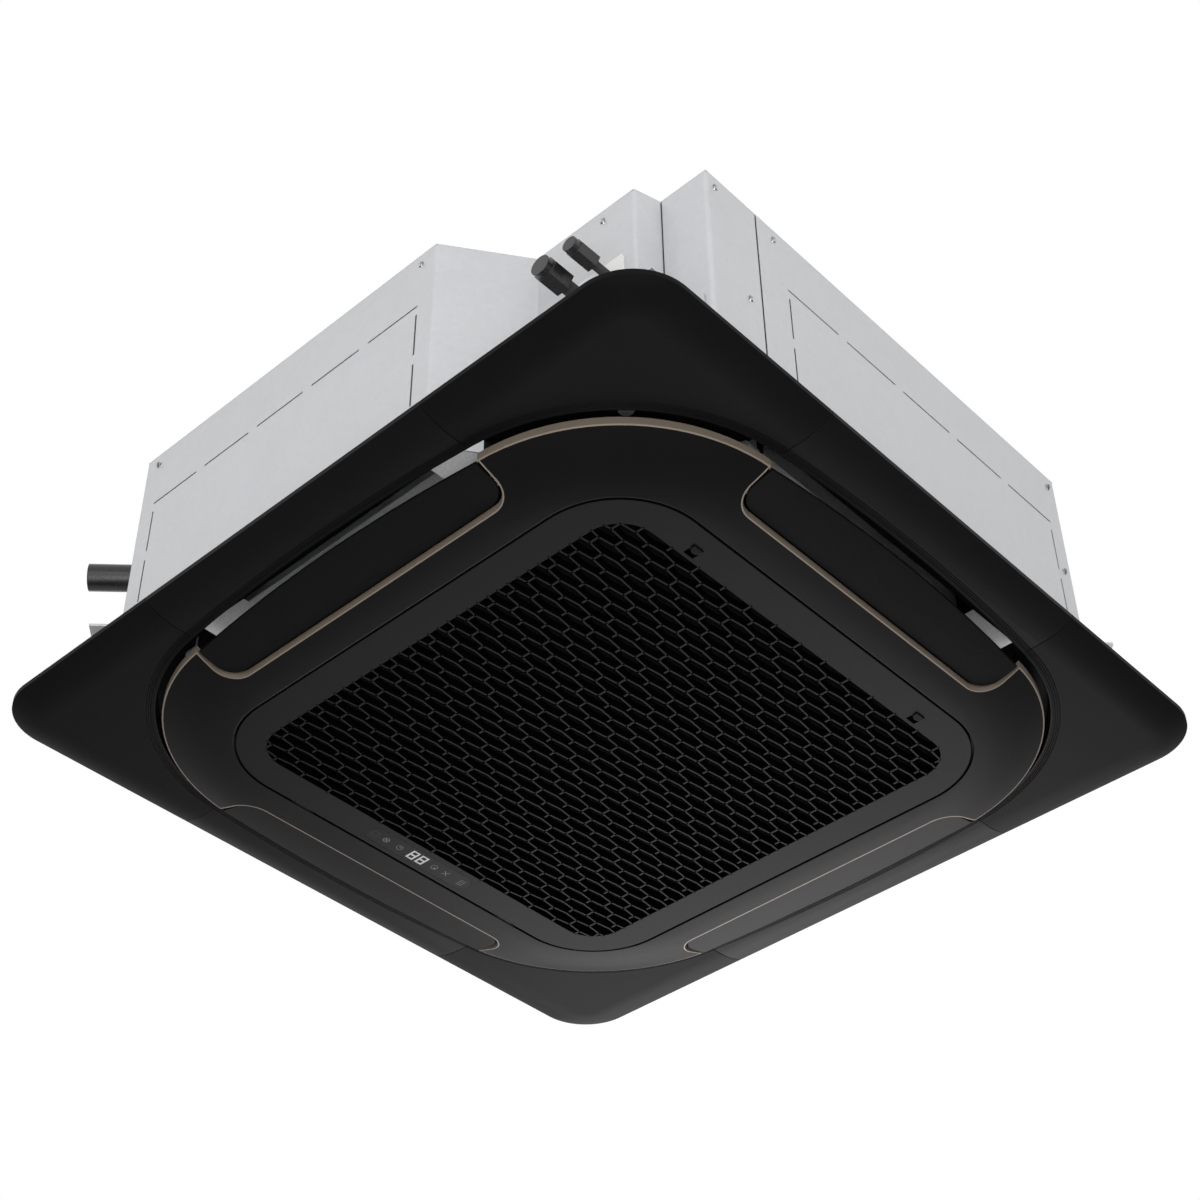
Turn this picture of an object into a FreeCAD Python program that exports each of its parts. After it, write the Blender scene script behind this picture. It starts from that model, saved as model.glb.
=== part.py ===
"""Ceiling cassette air conditioner: galvanised casing above the ceiling, black panel below it.

Millimetres. The origin is the middle of the ceiling plane, where the panel's rim seats.
+Z is up, the pipe notch is at the +X -Y corner and the drain outlet at the -X -Y corner.
"""
import FreeCAD
import Part
import Sketcher
import math
import os
import re
from FreeCAD import Placement, Rotation, Vector

doc = FreeCAD.newDocument("cassette_air_conditioner")
sheet = doc.addObject("Spreadsheet::Sheet", "Sizes")

# Driving sizes, one row each, grouped by the piece that they belong to
SIZES = {
    # panel frame and its corner covers
    "panel_side": 950, "panel_corner_radius": 65, "rim_height": 6, "rim_seat": 20,
    "bevel_width": 43, "bevel_drop": 10, "frame_wall": 2.5,
    "groove_count": 3, "groove_start": 4.5, "groove_pitch": 2.6, "groove_width": 0.9, "groove_depth": 0.7,
    "cover_seam_offset": 202, "cover_seam_gap": 0.8,
    # centre plate, a shallow dome with four louver recesses
    "panel_depth": 46, "plate_half": 412.5, "plate_bow_radius": 2127, "plate_corner_radius": 219,
    "plate_thickness": 5, "dome_start_half": 316, "dome_corner_radius": 150, "dome_radius": 230,
    "lip_gap": 8, "trim_thickness": 1.6, "trim_height": 8,
    "recess_half_length": 206, "recess_inner_half": 352, "recess_radius": 27,
    # carrier moulding behind the plate
    "deck_level": 4, "deck_thickness": 4, "carrier_ring_gap": 3, "carrier_ring_wall": 3,
    "slot_inner_half": 338, "slot_outer_half": 412, "deck_rail": 10, "bearing_length": 10, "bearing_width": 14,
    "bearing_drop": 6,
    # louvers and their motors
    "louver_gap": 3.5, "louver_thickness": 3, "louver_inner_level": -38, "louver_rise": 17,
    "louver_bow_radius": 450, "louver_axis_half": 388, "louver_axis_level": -14,
    "lug_width": 12, "lug_length": 5,
    "louver_pin_radius": 2.5, "running_clearance": 0.05, "louver_end_play": 0.4,
    "motor_can_radius": 10, "motor_can_length": 15, "motor_ear": 4,
    # intake grille, its hinge, filter, display and latches
    "seam_half": 312, "seam_radius": 100, "seam_gap": 1.8, "seam_chamfer": 1.2, "seam_relief": 2.2,
    "grille_skin": 3, "grille_depth": 10, "mesh_half": 271.5, "mesh_radius": 43, "mesh_rim": 2.5,
    "cell_pitch_across": 14.1, "cell_pitch_along": 40, "cell_rib": 2, "cell_bar": 2.4, "cell_wave": 1.2,
    "hinge_lift": 1.25, "knuckle_radius": 1.25, "knuckle_length": 20, "hinge_spread": 160,
    "hinge_pin_radius": 0.75, "ear_thickness": 5, "ear_half_width": 1.25, "ear_gap": 0.5,
    "shelf_thickness": 4, "shelf_drop": 8,
    "filter_inner_half": 272.5, "filter_outer_half": 284, "filter_height": 6, "filter_corner_radius": 44,
    "filter_sheet": 0.6, "filter_sheet_lift": 2, "filter_rib": 4, "filter_fit": 0.1,
    "display_width": 25, "display_length": 158, "display_inset": 20.5, "display_fit": 0.2,
    "display_flat": 0.5, "display_board_margin": 4, "display_board_thickness": 1.6,
    "latch_offset": 181, "latch_width": 13, "latch_depth": 9, "latch_inset": 22, "latch_travel": 5,
    "latch_fit": 0.5, "latch_stand": 1.2, "latch_slider": 2.5, "latch_rise": 0.3, "latch_overlap": 1,
    "latch_round_share": 0.55,
    # casing sheets
    "casing_side": 840, "casing_height": 300, "casing_lift": 18, "casing_chamfer": 90, "sheet_metal": 1,
    "bend_radius": 5, "notch_start": 150, "notch_turn": 63, "notch_depth": 88, "notch_run": 137,
    "notch_jog_out": 9, "notch_jog_back": 32, "wrap_flange": 78, "cover_plate_gap": 3, "corner_gap": 1.5,
    "slit_width": 2.5, "slit_drop": 78, "slit_inset": 24, "slit_bridge": 14, "slit_height": 150,
    "slit_count": 5,
    "screw_head_radius": 5.5, "screw_head_height": 3, "screw_shank_radius": 2, "screw_shank_length": 8,
    "screw_edge": 16, "screw_crown_share": 0.67, "notch_screw_share": 0.67,
    # hangers
    "hanger_pitch_x": 800, "hanger_pitch_y": 740, "hanger_hole_radius": 6, "hanger_plate": 3,
    "hanger_level": 70, "hanger_half_width": 24, "hanger_end": 20, "hanger_flange": 45,
    # foam liner, drain pan and bell mouth
    "liner_fit": 1.2, "liner_thickness": 12, "pan_height": 60, "pan_hole_radius": 250,
    "pan_slot_inner": 345, "pan_slot_outer": 405, "pan_slot_half": 206, "pan_slot_short": 130,
    "trough_outer_half": 318, "trough_inner_half": 268, "trough_depth": 20, "trough_radius": 86,
    "bell_plate_half": 300, "bell_plate": 2.5, "bell_mouth_radius": 232, "bell_throat_radius": 200,
    "bell_height": 52, "bell_wall": 3,
    # control box
    "box_inner_x": 236, "box_outer_x": 298, "box_half_length": 160, "box_height": 36, "box_wall": 1.5,
    "box_cover": 2, "board_thickness": 1.6, "board_margin": 4, "board_post": 5, "board_post_radius": 3,
    "terminal_width": 22, "terminal_length": 90, "terminal_height": 10,
    # coil, headers and pipes
    "coil_outer_half": 312, "coil_depth": 38, "coil_radius": 80, "coil_top_gap": 2, "coil_end": 205,
    "header_x_gas": 276, "header_x_liquid": 316, "header_y": 293, "header_radius": 9, "header_inset": 25,
    "feeder_radius": 4, "feeder_count": 6, "gas_pipe_radius": 8, "liquid_pipe_radius": 5,
    "gas_level": 205, "liquid_level": 205, "pipe_reach": 40, "pipe_bore_gap": 0.5, "cap_length": 26,
    "cap_radius_gas": 15, "cap_radius_liquid": 11, "cap_nose": 8, "cap_nose_share": 0.8,
    "grommet_margin": 14, "grommet_thickness": 4,
    # fan and motor
    "motor_radius": 72, "motor_height": 80, "mount_bush_radius": 9, "mount_bush_height": 12,
    "mount_bush_circle": 55, "motor_plate_radius": 95, "motor_plate": 3, "shaft_radius": 6,
    "shaft_engagement": 20, "hub_gap": 12, "hub_radius": 88, "hub_cone": 24, "hub_wall": 3,
    "fan_radius": 235, "fan_eye_radius": 206, "shroud_rise": 30, "fan_bell_gap": 4,
    "blade_count": 9, "blade_inner_radius": 150, "blade_thickness": 3.5, "blade_bow_radius": 120,
    "blade_sweep_share": 0.25,
    "hub_boss_radius": 16, "nut_radius": 10, "nut_height": 8,
    # drain pump, hose and outlet; float switch
    "pump_corner": 330, "pump_radius": 27, "pump_motor_radius": 21, "pump_body_height": 52,
    "drain_level": 177, "pump_top_rise": 16, "hose_radius": 12, "hose_wall": 2, "outlet_radius": 16,
    "outlet_wall": 2.5, "outlet_reach": 60, "outlet_flange_radius": 24, "outlet_flange": 3,
    "float_corner": 330, "float_radius": 11, "float_height": 14, "float_gap": 0.3, "float_seat": 0.1,
    "stem_radius": 3, "stem_foot_radius": 13, "stem_foot": 6, "float_travel": 24,
    "stem_cap_radius": 6, "stem_cap": 4,
    # panel brackets and bolts
    "bracket_corner": 335, "bracket_half": 30, "bracket_sheet": 1.5, "bolt_radius": 4, "bolt_head_radius": 8,
    "bolt_head_height": 5, "seal_wall": 10,
    # how far cutting tools run past what they cut
    "overrun": 20,
}
for row, (alias, size) in enumerate(SIZES.items(), 1):
    sheet.set(f"A{row}", alias)
    sheet.set(f"B{row}", str(size))
    sheet.setAlias(f"B{row}", alias)
doc.recompute()

# Heights and places that follow from the driving sizes
LIP = "-(rim_height + bevel_drop)"
FACE = "-panel_depth"
DECK_TOP = "(deck_level + deck_thickness)"
BASE = "casing_lift"
TOP = "(casing_lift + casing_height)"
UNDER_TOP = f"({TOP} - sheet_metal)"
PAN_TOP = "(casing_lift + pan_height)"
LINER_TOP = f"({UNDER_TOP} - liner_thickness)"
HALF = "casing_side/2"
GRILLE_BACK = "(grille_depth - panel_depth)"
SKIN_BACK = "(grille_skin - panel_depth)"
HINGE_X = "(-seam_half)"
HINGE_Z = "(hinge_lift - panel_depth)"
PLATE_BACK = "(plate_thickness - panel_depth)"


def bind(text):
    """An expression on the sheet: every alias gets the sheet's name in front."""
    return re.sub(r"[a-z][a-z_]*", lambda m: "Sizes." + m.group() if m.group() in SIZES else m.group(), text)


def value(text):
    """The number that an expression gives."""
    return float(sheet.evalExpression(bind(text)))


def tie(item, **sizes):
    """Bind properties of an object to expressions on the sheet."""
    for name, text in sizes.items():
        item.setExpression(name.replace("__", "."), bind(text))
    return item


def place(item, x="0", y="0", z="0"):
    """Bind the place of an object."""
    return tie(item, Placement__Base__x=x, Placement__Base__y=y, Placement__Base__z=z)


# Sketch helpers
def outline(sketch, corners, arcs=None):
    """A closed outline through corners; arcs maps a side's number to its radius and its centre's side."""
    arcs = arcs or {}
    points = [Vector(value(x), value(y), 0) for x, y in corners]
    count = len(points)
    pieces = []
    for i, start in enumerate(points):
        end = points[(i + 1) % count]
        if i not in arcs:
            pieces.append(Part.LineSegment(start, end))
            continue
        radius = value(arcs[i][0])
        chord = end - start
        middle = (start + end) * 0.5
        normal = Vector(-chord.y, chord.x, 0).normalize()
        rise = math.sqrt(max(radius ** 2 - chord.Length ** 2 / 4, 0))
        centre = middle + normal * (rise * arcs[i][1])
        pieces.append(Part.Arc(start, centre - normal * (radius * arcs[i][1]), end))
    ids = sketch.addGeometry(pieces, False)
    ends = []
    for i, edge in enumerate(ids):
        near, far = (sketch.getPoint(edge, end).distanceToPoint(points[i]) for end in (1, 2))
        ends.append((1, 2) if near < far else (2, 1))
    for i in range(count):
        j = (i + 1) % count
        sketch.addConstraint(Sketcher.Constraint("Coincident", ids[i], ends[i][1], ids[j], ends[j][0]))
    for i, corner in enumerate(corners):
        for kind, text in zip(("DistanceX", "DistanceY"), corner):
            rule = Sketcher.Constraint(kind, -1, 1, ids[i], ends[i][0], value(text))
            sketch.setExpression(f"Constraints[{sketch.addConstraint(rule)}]", bind(text))
    for i, (radius, _) in arcs.items():
        rule = Sketcher.Constraint("Radius", ids[i], value(radius))
        sketch.setExpression(f"Constraints[{sketch.addConstraint(rule)}]", bind(radius))
    return sketch


def circle(sketch, x, y, radius):
    """A circle with its centre and radius bound."""
    centre = Vector(value(x), value(y), 0)
    edge = sketch.addGeometry(Part.Circle(centre, Vector(0, 0, 1), value(radius)), False)
    for kind, text in (("DistanceX", x), ("DistanceY", y)):
        rule = Sketcher.Constraint(kind, -1, 1, edge, 3, value(text))
        sketch.setExpression(f"Constraints[{sketch.addConstraint(rule)}]", bind(text))
    rule = Sketcher.Constraint("Radius", edge, value(radius))
    sketch.setExpression(f"Constraints[{sketch.addConstraint(rule)}]", bind(radius))
    return sketch


def rectangle(sketch, xs, ys):
    """A rectangle between two limits each way."""
    return outline(sketch, [(xs[0], ys[0]), (xs[1], ys[0]), (xs[1], ys[1]), (xs[0], ys[1])])


def rounded(sketch, half_x, half_y, radius, x="0", y="0"):
    """A rectangle with rounded corners about a centre."""
    far_x, far_y = f"({half_x})", f"({half_y})"
    near_x, near_y = f"({half_x} - ({radius}))", f"({half_y} - ({radius}))"
    signs = [(-1, -1, 0), (1, -1, 0), (1, -1, 1), (1, 1, 1), (1, 1, 0), (-1, 1, 0), (-1, 1, 1), (-1, -1, 1)]
    corners = []
    for sx, sy, on_x in signs:
        reach_x = far_x if on_x else near_x
        reach_y = near_y if on_x else far_y
        corners.append((f"{x} + {sx} * {reach_x}", f"{y} + {sy} * {reach_y}"))
    return outline(sketch, corners, {i: (radius, 1) for i in (1, 3, 5, 7)})


def bowed_square(sketch, grow="0"):
    """The plate's outline, grown: four bowed sides and four corner arcs that meet without a break."""
    span = "(plate_bow_radius - plate_corner_radius)"
    drop = "(plate_bow_radius - plate_half)"
    middle = f"((sqrt(2 * {span}^2 - {drop}^2) - {drop}) / 2)"
    along = f"({middle} * (plate_bow_radius + {grow}) / {span})"
    across = f"((plate_bow_radius + {grow}) * ({middle} + {drop}) / {span} - {drop})"
    corners = []
    for sx, sy in ((1, -1), (1, 1), (-1, 1), (-1, -1)):
        pair = [(f"{sx} * {along}", f"{sy} * {across}"), (f"{sx} * {across}", f"{sy} * {along}")]
        corners += pair if sx * sy < 0 else pair[::-1]
    radii = [f"plate_corner_radius + {grow}", f"plate_bow_radius + {grow}"]
    return outline(sketch, corners, {i: (radii[i % 2], 1) for i in range(8)})


def loose_sketch(name, z="0"):
    """A sketch on a level plane that belongs to no body."""
    return place(doc.addObject("Sketcher::SketchObject", name), z=z)


def upright_sketch(name):
    """A sketch on the XZ plane: its own x is X and its own y is Z."""
    sketch = doc.addObject("Sketcher::SketchObject", name)
    sketch.Placement = Placement(Vector(), Rotation(Vector(1, 0, 0), 90))
    return sketch


def extrude(name, sketch, height):
    """A solid that stands on a level outline."""
    solid = doc.addObject("Part::Extrusion", name)
    solid.Base = sketch
    solid.DirMode = "Custom"
    solid.Dir = Vector(0, 0, 1)
    solid.Solid = True
    return tie(solid, LengthFwd=height)


# Solid helpers
def box(name, xs, ys, zs):
    """A box between two limits each way."""
    solid = doc.addObject("Part::Box", name)
    tie(solid, Length=f"{xs[1]} - ({xs[0]})", Width=f"{ys[1]} - ({ys[0]})", Height=f"{zs[1]} - ({zs[0]})")
    return place(solid, xs[0], ys[0], zs[0])


def rod(name, radius, start, length, turn=None):
    """A cylinder that starts at a point and runs up, or along the axis that turn takes +Z to."""
    solid = tie(doc.addObject("Part::Cylinder", name), Radius=radius, Height=length)
    if turn:
        solid.Placement = Placement(Vector(), turn)
    return place(solid, *start)


def joined(name, *solids):
    """Several solids made one."""
    result = doc.addObject("Part::MultiFuse", name)
    result.Shapes = list(solids)
    result.Refine = True
    return result


def less(name, base, *tools):
    """A solid with tools cut out of it."""
    result = doc.addObject("Part::Cut", name)
    result.Base = base
    result.Tool = tools[0] if len(tools) == 1 else grouped(name + "_tools", *tools)
    return result


def shared(name, first, second):
    """What two solids have in common."""
    result = doc.addObject("Part::Common", name)
    result.Base = first
    result.Tool = second
    return result


def grouped(name, *solids):
    """Separate solids kept together."""
    result = doc.addObject("Part::Compound", name)
    result.Links = list(solids)
    return result


def turned(name, source, angle):
    """The same solid turned about the vertical axis."""
    result = doc.addObject("Part::Feature", name)
    doc.recompute()
    result.Shape = source.Shape
    result.Placement = Placement(Vector(), Rotation(Vector(0, 0, 1), angle)).multiply(source.Shape.Placement)
    return result


def feature(name, shape):
    """A shape that no single feature makes."""
    result = doc.addObject("Part::Feature", name)
    result.Shape = shape
    return result


NODES = []


def node(label, item):
    """Give a finished sub-part its name."""
    item.Label = label
    NODES.append(item)
    return item


TO_X = Rotation(Vector(0, 1, 0), 90)
TO_Y = Rotation(Vector(1, 0, 0), -90)
TO_MINUS_Y = Rotation(Vector(1, 0, 0), 90)
SIDES = {"front": 0, "right": 90, "back": 180, "left": 270}

# Panel frame: a bevelled ring round the ceiling opening, with a skirt round the air slot
rim_path = rounded(loose_sketch("rim_path"), "panel_side/2", "panel_side/2", "panel_corner_radius")
bevel_radius = "((bevel_width^2 + bevel_drop^2) / (2 * bevel_drop))"
rim_section = outline(upright_sketch("rim_section"), [
    ("panel_side/2", "0"), ("panel_side/2 - rim_seat", "0"),
    ("panel_side/2 - bevel_width", f"{LIP} + frame_wall"), ("panel_side/2 - bevel_width", LIP),
    ("panel_side/2", "-rim_height")], {3: (bevel_radius, 1)})
bevel_ring = doc.addObject("Part::Sweep", "bevel_ring")
bevel_ring.Sections = [rim_section]
bevel_ring.Spine = (rim_path, [])
bevel_ring.Solid = True
inner_half = "panel_side/2 - bevel_width"
lip_corner = "panel_corner_radius - bevel_width"
lip_plate = rounded(loose_sketch("lip_plate", LIP), inner_half, inner_half, lip_corner)
skirt_outside = bowed_square(loose_sketch("skirt_outside", LIP), "(lip_gap + frame_wall)")
skirt_inside = bowed_square(loose_sketch("skirt_inside", LIP), "lip_gap")
skirt_height = f"{DECK_TOP} - ({LIP})"
skirt_block = extrude("skirt_block", skirt_outside, skirt_height)
skirt = less("skirt", skirt_block, extrude("skirt_void", skirt_inside, skirt_height))
flat_ring = less("flat_ring", extrude("lip_slab", lip_plate, "frame_wall"), skirt_block)
groove_tools = []
for number in range(int(value("groove_count"))):
    near = f"(lip_gap + groove_start + {number} * groove_pitch)"
    groove_block = extrude(f"groove_block_{number}", bowed_square(
        loose_sketch(f"groove_outside_{number}", LIP), f"({near} + groove_width)"), "groove_depth")
    groove_island = extrude(f"groove_island_{number}", bowed_square(
        loose_sketch(f"groove_inside_{number}", LIP), near), "groove_depth")
    groove_tools.append(less(f"groove_{number}", groove_block, groove_island))
panel_ring = less("panel_ring", joined("plain_panel_ring", bevel_ring, flat_ring), *groove_tools)
cover_reach = ("cover_seam_offset + cover_seam_gap/2", "panel_side/2 + overrun")
seam_reach = ("cover_seam_offset - cover_seam_gap/2", "panel_side/2 + overrun")
frame_levels = (f"{LIP} - overrun", "overrun")
cover_block = box("cover_block", cover_reach, cover_reach, frame_levels)
seam_stock = box("seam_stock", seam_reach, seam_reach, frame_levels)
seam_blocks = [turned(f"seam_block_{side}", seam_stock, angle) for side, angle in SIDES.items()]
strips = less("strips", panel_ring, *seam_blocks)
node("panel_frame", joined("panel_frame_solid", strips, skirt))
for corner, angle in {"back_right": 0, "back_left": 90, "front_left": 180, "front_right": 270}.items():
    piece = shared(f"cover_stock_{corner}", panel_ring, cover_block)
    node(f"corner_cover_{corner}", turned(f"cover_{corner}", piece, angle))

# Centre plate: a domed slab cut by the recesses, and the bronze trim that edges it
dome_path = rounded(loose_sketch("dome_path"), "dome_start_half", "dome_start_half", "dome_corner_radius")
reach = "(plate_half + overrun - dome_start_half)"
rise_low = f"(dome_radius - sqrt(dome_radius^2 - {reach}^2))"


def dome(name, thickness):
    """A slab with the dome's lower face, as thick as asked, swept round the flat middle."""
    inner_radius = f"(dome_radius - {thickness})"
    rise_high = f"({thickness} + {inner_radius} - sqrt({inner_radius}^2 - {reach}^2))"
    slab_back = f"({FACE} + {thickness})"
    section = outline(upright_sketch(f"{name}_section"), [
        ("dome_start_half - overrun", FACE), ("dome_start_half", FACE),
        (f"dome_start_half + {reach}", f"{FACE} + {rise_low}"),
        (f"dome_start_half + {reach}", f"{FACE} + {rise_high}"),
        ("dome_start_half", slab_back), ("dome_start_half - overrun", slab_back)],
        {1: ("dome_radius", 1), 3: (inner_radius, -1)})
    slab = doc.addObject("Part::Sweep", name)
    slab.Sections = [section]
    slab.Spine = (dome_path, [])
    slab.Solid = True
    return slab


dome_slab = dome("dome_slab", "plate_thickness")
trim_slab = dome("trim_slab", "trim_height")


def recess_tools(name, grow):
    """The four louver recesses, grown by a wall."""
    sketch = loose_sketch(f"{name}_outline", f"{FACE} - overrun")
    end, inner = f"(recess_half_length + {grow})", f"(recess_inner_half - {grow})"
    radius = f"(recess_radius + {grow})"
    outer = "(plate_half + overrun)"
    outline(sketch, [
        (f"-{end}", f"-{outer}"), (end, f"-{outer}"), (end, f"-{inner} - {radius}"),
        (f"{end} - {radius}", f"-{inner}"), (f"-{end} + {radius}", f"-{inner}"),
        (f"-{end}", f"-{inner} - {radius}")], {2: (radius, 1), 4: (radius, 1)})
    first = extrude(f"{name}_front", sketch, "panel_depth + overrun")
    return [first] + [turned(f"{name}_{side}", first, angle) for side, angle in SIDES.items() if angle]


def seam_outline(name, level, grow):
    """The grille's outline at a level, grown by a gap."""
    return rounded(loose_sketch(name, level), *[f"seam_half + {grow}"] * 2, f"seam_radius + {grow}")


seam_low = seam_outline("seam_low", FACE, "seam_gap")
seam_high = seam_outline("seam_high", PLATE_BACK, "(seam_gap + seam_relief)")
seam_tool = doc.addObject("Part::Loft", "seam_tool")
seam_tool.Sections = [seam_low, seam_high]
seam_tool.Solid = True
seam_tool.Ruled = True
full_depth = "panel_depth + overrun"
plate_column = extrude("plate_column", bowed_square(
    loose_sketch("plate_edge", f"{FACE} - overrun"), "-trim_thickness"), full_depth)
trim_column = extrude("trim_column", bowed_square(loose_sketch("trim_edge", f"{FACE} - overrun")), full_depth)
plate_core = less("plate_core", plate_column, *recess_tools("wide_recess", "trim_thickness"))
edge_core = less("edge_core", trim_column, *recess_tools("recess", "0"))
opened_slab = less("opened_slab", dome_slab, seam_tool)
node("centre_plate", shared("centre_plate_solid", opened_slab, plate_core))
node("plate_edge_trim", less("trim_solid", shared("trim_stock", trim_slab, edge_core), plate_core))

# Carrier: the black moulding behind the plate, with the slots, the bearings and the hinge ears
deck_edge = bowed_square(loose_sketch("deck_edge", "deck_level"), "lip_gap")
deck_block = extrude("deck_block", deck_edge, "deck_thickness")
ring_outer = "(seam_half + carrier_ring_gap + carrier_ring_wall)"
ring_inner = "(seam_half + carrier_ring_gap)"
ring_foot = f"{FACE} + plate_thickness/2"
ring_block = extrude("ring_block", rounded(
    loose_sketch("ring_outside", ring_foot), ring_outer, ring_outer,
    "(seam_radius + carrier_ring_gap + carrier_ring_wall)"), f"{DECK_TOP} - ({ring_foot})")
ring_void = extrude("ring_void", rounded(
    loose_sketch("ring_inside", f"{FACE}"), ring_inner, ring_inner, "(seam_radius + carrier_ring_gap)"),
    f"{DECK_TOP} - ({FACE})")
slots = []
bearings = []
bores = []
bearing_low = "recess_half_length + louver_end_play"
for side, angle in SIDES.items():
    slot = box(f"slot_stock_{side}", ("-recess_half_length", "recess_half_length"),
               ("deck_rail - slot_outer_half", "-slot_inner_half"),
               ("deck_level - overrun", f"{DECK_TOP} + overrun"))
    slots.append(turned(f"slot_{side}", slot, angle))
    for end in (-1, 1):
        limits = (bearing_low, f"{bearing_low} + bearing_length")
        if end < 0:
            limits = (f"-({bearing_low} + bearing_length)", f"-({bearing_low})")
        block = box(f"bearing_stock_{side}_{end + 1}", limits,
                    ("-louver_axis_half - bearing_width/2", "-louver_axis_half + bearing_width/2"),
                    ("louver_axis_level - bearing_drop", DECK_TOP))
        bearings.append(turned(f"bearing_{side}_{end + 1}", block, angle))
    bore = rod(f"bore_stock_{side}", "louver_pin_radius + running_clearance",
               (f"-({bearing_low} + bearing_length)", "-louver_axis_half", "louver_axis_level"),
               f"2 * ({bearing_low} + bearing_length)", TO_X)
    bores.append(turned(f"bore_{side}", bore, angle))
ears = []
pins = []
ear_span = "(knuckle_length/2 + ear_gap)"
for number, sign in enumerate((-1, 1)):
    middle = f"{sign} * hinge_spread"
    for end in (-1, 1):
        near, far = f"{middle} + {end} * {ear_span}", f"{middle} + {end} * ({ear_span} + ear_thickness)"
        ys = (near, far) if end > 0 else (far, near)
        tag = f"{number}_{end + 1}"
        ears.append(box(f"ear_{tag}", (f"{HINGE_X} - ear_half_width", f"{HINGE_X} + ear_half_width"), ys,
                        (HINGE_Z, "-shelf_drop")))
        ears.append(rod(f"ear_eye_{tag}", "ear_half_width", (HINGE_X, ys[0], HINGE_Z), "ear_thickness", TO_Y))
    ears.append(box(f"shelf_{number}", (f"-({ring_inner})", f"{HINGE_X} + ear_half_width"),
                    (f"{middle} - ({ear_span} + ear_thickness)", f"{middle} + {ear_span} + ear_thickness"),
                    ("-shelf_drop - shelf_thickness", "-shelf_drop")))
    pins.append(rod(f"hinge_pin_{number}", "hinge_pin_radius",
                    (HINGE_X, f"{middle} - ({ear_span} + ear_thickness)", HINGE_Z),
                    f"2 * ({ear_span} + ear_thickness)", TO_Y))
bolt_bores = []
for number, (sx, sy) in enumerate(((1, 1), (-1, 1), (-1, -1), (1, -1))):
    bolt_bores.append(rod(f"bolt_bore_{number}", "bolt_radius", (
        f"{sx} * bracket_corner", f"{sy} * bracket_corner", "deck_level - overrun"), "3 * overrun"))
deck = less("deck", deck_block, ring_void, *slots)
carrier = joined("carrier_stock", deck, less("ring", ring_block, ring_void), *bearings)
carrier = less("carrier_bored", carrier, dome_slab, *bores, *bolt_bores)
node("panel_carrier", joined("carrier_solid", carrier, less("ears", joined("ear_stock", *ears), *pins)))
node("grille_hinge_pins", grouped("hinge_pin_set", *pins))

# Louvers: a curved flap on two lugs, with a pin at each end of its turning axis
flap_inner = "(recess_inner_half + louver_gap)"
flap_outer = "(plate_half - louver_gap/2)"
flap_end = "(recess_half_length - louver_gap)"
flap_low = upright_sketch("flap_section")
flap_low.Placement = Placement(Vector(), Rotation(Vector(1, 1, 1), 120))
flap_top_inner = "louver_inner_level + louver_thickness"
flap_far = f"-({flap_outer} + overrun)"
outline(flap_low, [
    (flap_far, "louver_inner_level + louver_rise"), (f"-{flap_inner}", "louver_inner_level"),
    (f"-{flap_inner}", flap_top_inner), (flap_far, f"{flap_top_inner} + louver_rise")],
    {0: ("louver_bow_radius", 1), 2: ("louver_bow_radius", -1)})
flap_bar = doc.addObject("Part::Extrusion", "flap_bar")
flap_bar.Base = flap_low
flap_bar.DirMode = "Custom"
flap_bar.Dir = Vector(1, 0, 0)
flap_bar.Solid = True
flap_bar.Symmetric = True
tie(flap_bar, LengthFwd=f"2 * {flap_end}")
flap_plan = loose_sketch("flap_plan", f"{FACE} - overrun")
corner = "(recess_radius - louver_gap)"
outline(flap_plan, [
    (f"-{flap_end}", "-(plate_half + overrun)"), (flap_end, "-(plate_half + overrun)"),
    (flap_end, f"-{flap_inner} - {corner}"), (f"{flap_end} - {corner}", f"-{flap_inner}"),
    (f"-{flap_end} + {corner}", f"-{flap_inner}"), (f"-{flap_end}", f"-{flap_inner} - {corner}")],
    {2: (corner, 1), 4: (corner, 1)})
flap_edge = bowed_square(loose_sketch("flap_edge", f"{FACE} - overrun"), "-louver_gap/2")
flap_bound = shared("flap_bound", extrude("flap_plan_column", flap_plan, full_depth),
                    extrude("flap_edge_column", flap_edge, full_depth))
flap = shared("flap", flap_bar, flap_bound)
lug_space_section = upright_sketch("lug_space_section")
lug_space_section.Placement = flap_low.Placement
outline(lug_space_section, [
    (flap_far, "louver_inner_level + louver_rise"), (f"-{flap_inner}", "louver_inner_level"),
    (f"-{flap_inner}", "louver_axis_level"), (flap_far, "louver_axis_level")],
    {0: ("louver_bow_radius", 1)})
lug_space = doc.addObject("Part::Extrusion", "lug_space")
lug_space.Base = lug_space_section
lug_space.DirMode = "Custom"
lug_space.Dir = Vector(1, 0, 0)
lug_space.Solid = True
lug_space.Symmetric = True
tie(lug_space, LengthFwd=f"2 * {flap_end}")
lug_posts = []
lug_eyes = []
for end in (-1, 1):
    limits = (f"{flap_end} - lug_length", flap_end)
    if end < 0:
        limits = (f"-{flap_end}", f"-{flap_end} + lug_length")
    lug_posts.append(box(f"lug_{end + 1}", limits,
                         ("-louver_axis_half - lug_width/2", "-louver_axis_half + lug_width/2"),
                         ("louver_inner_level - overrun", "louver_axis_level")))
    lug_eyes.append(rod(f"lug_eye_{end + 1}", "lug_width/2",
                        (limits[0], "-louver_axis_half", "louver_axis_level"), "lug_length", TO_X))
lugs = [shared("lug_pair", grouped("lug_post_pair", *lug_posts), lug_space)] + lug_eyes
pin_reach = f"({bearing_low} + bearing_length - louver_end_play)"
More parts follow.
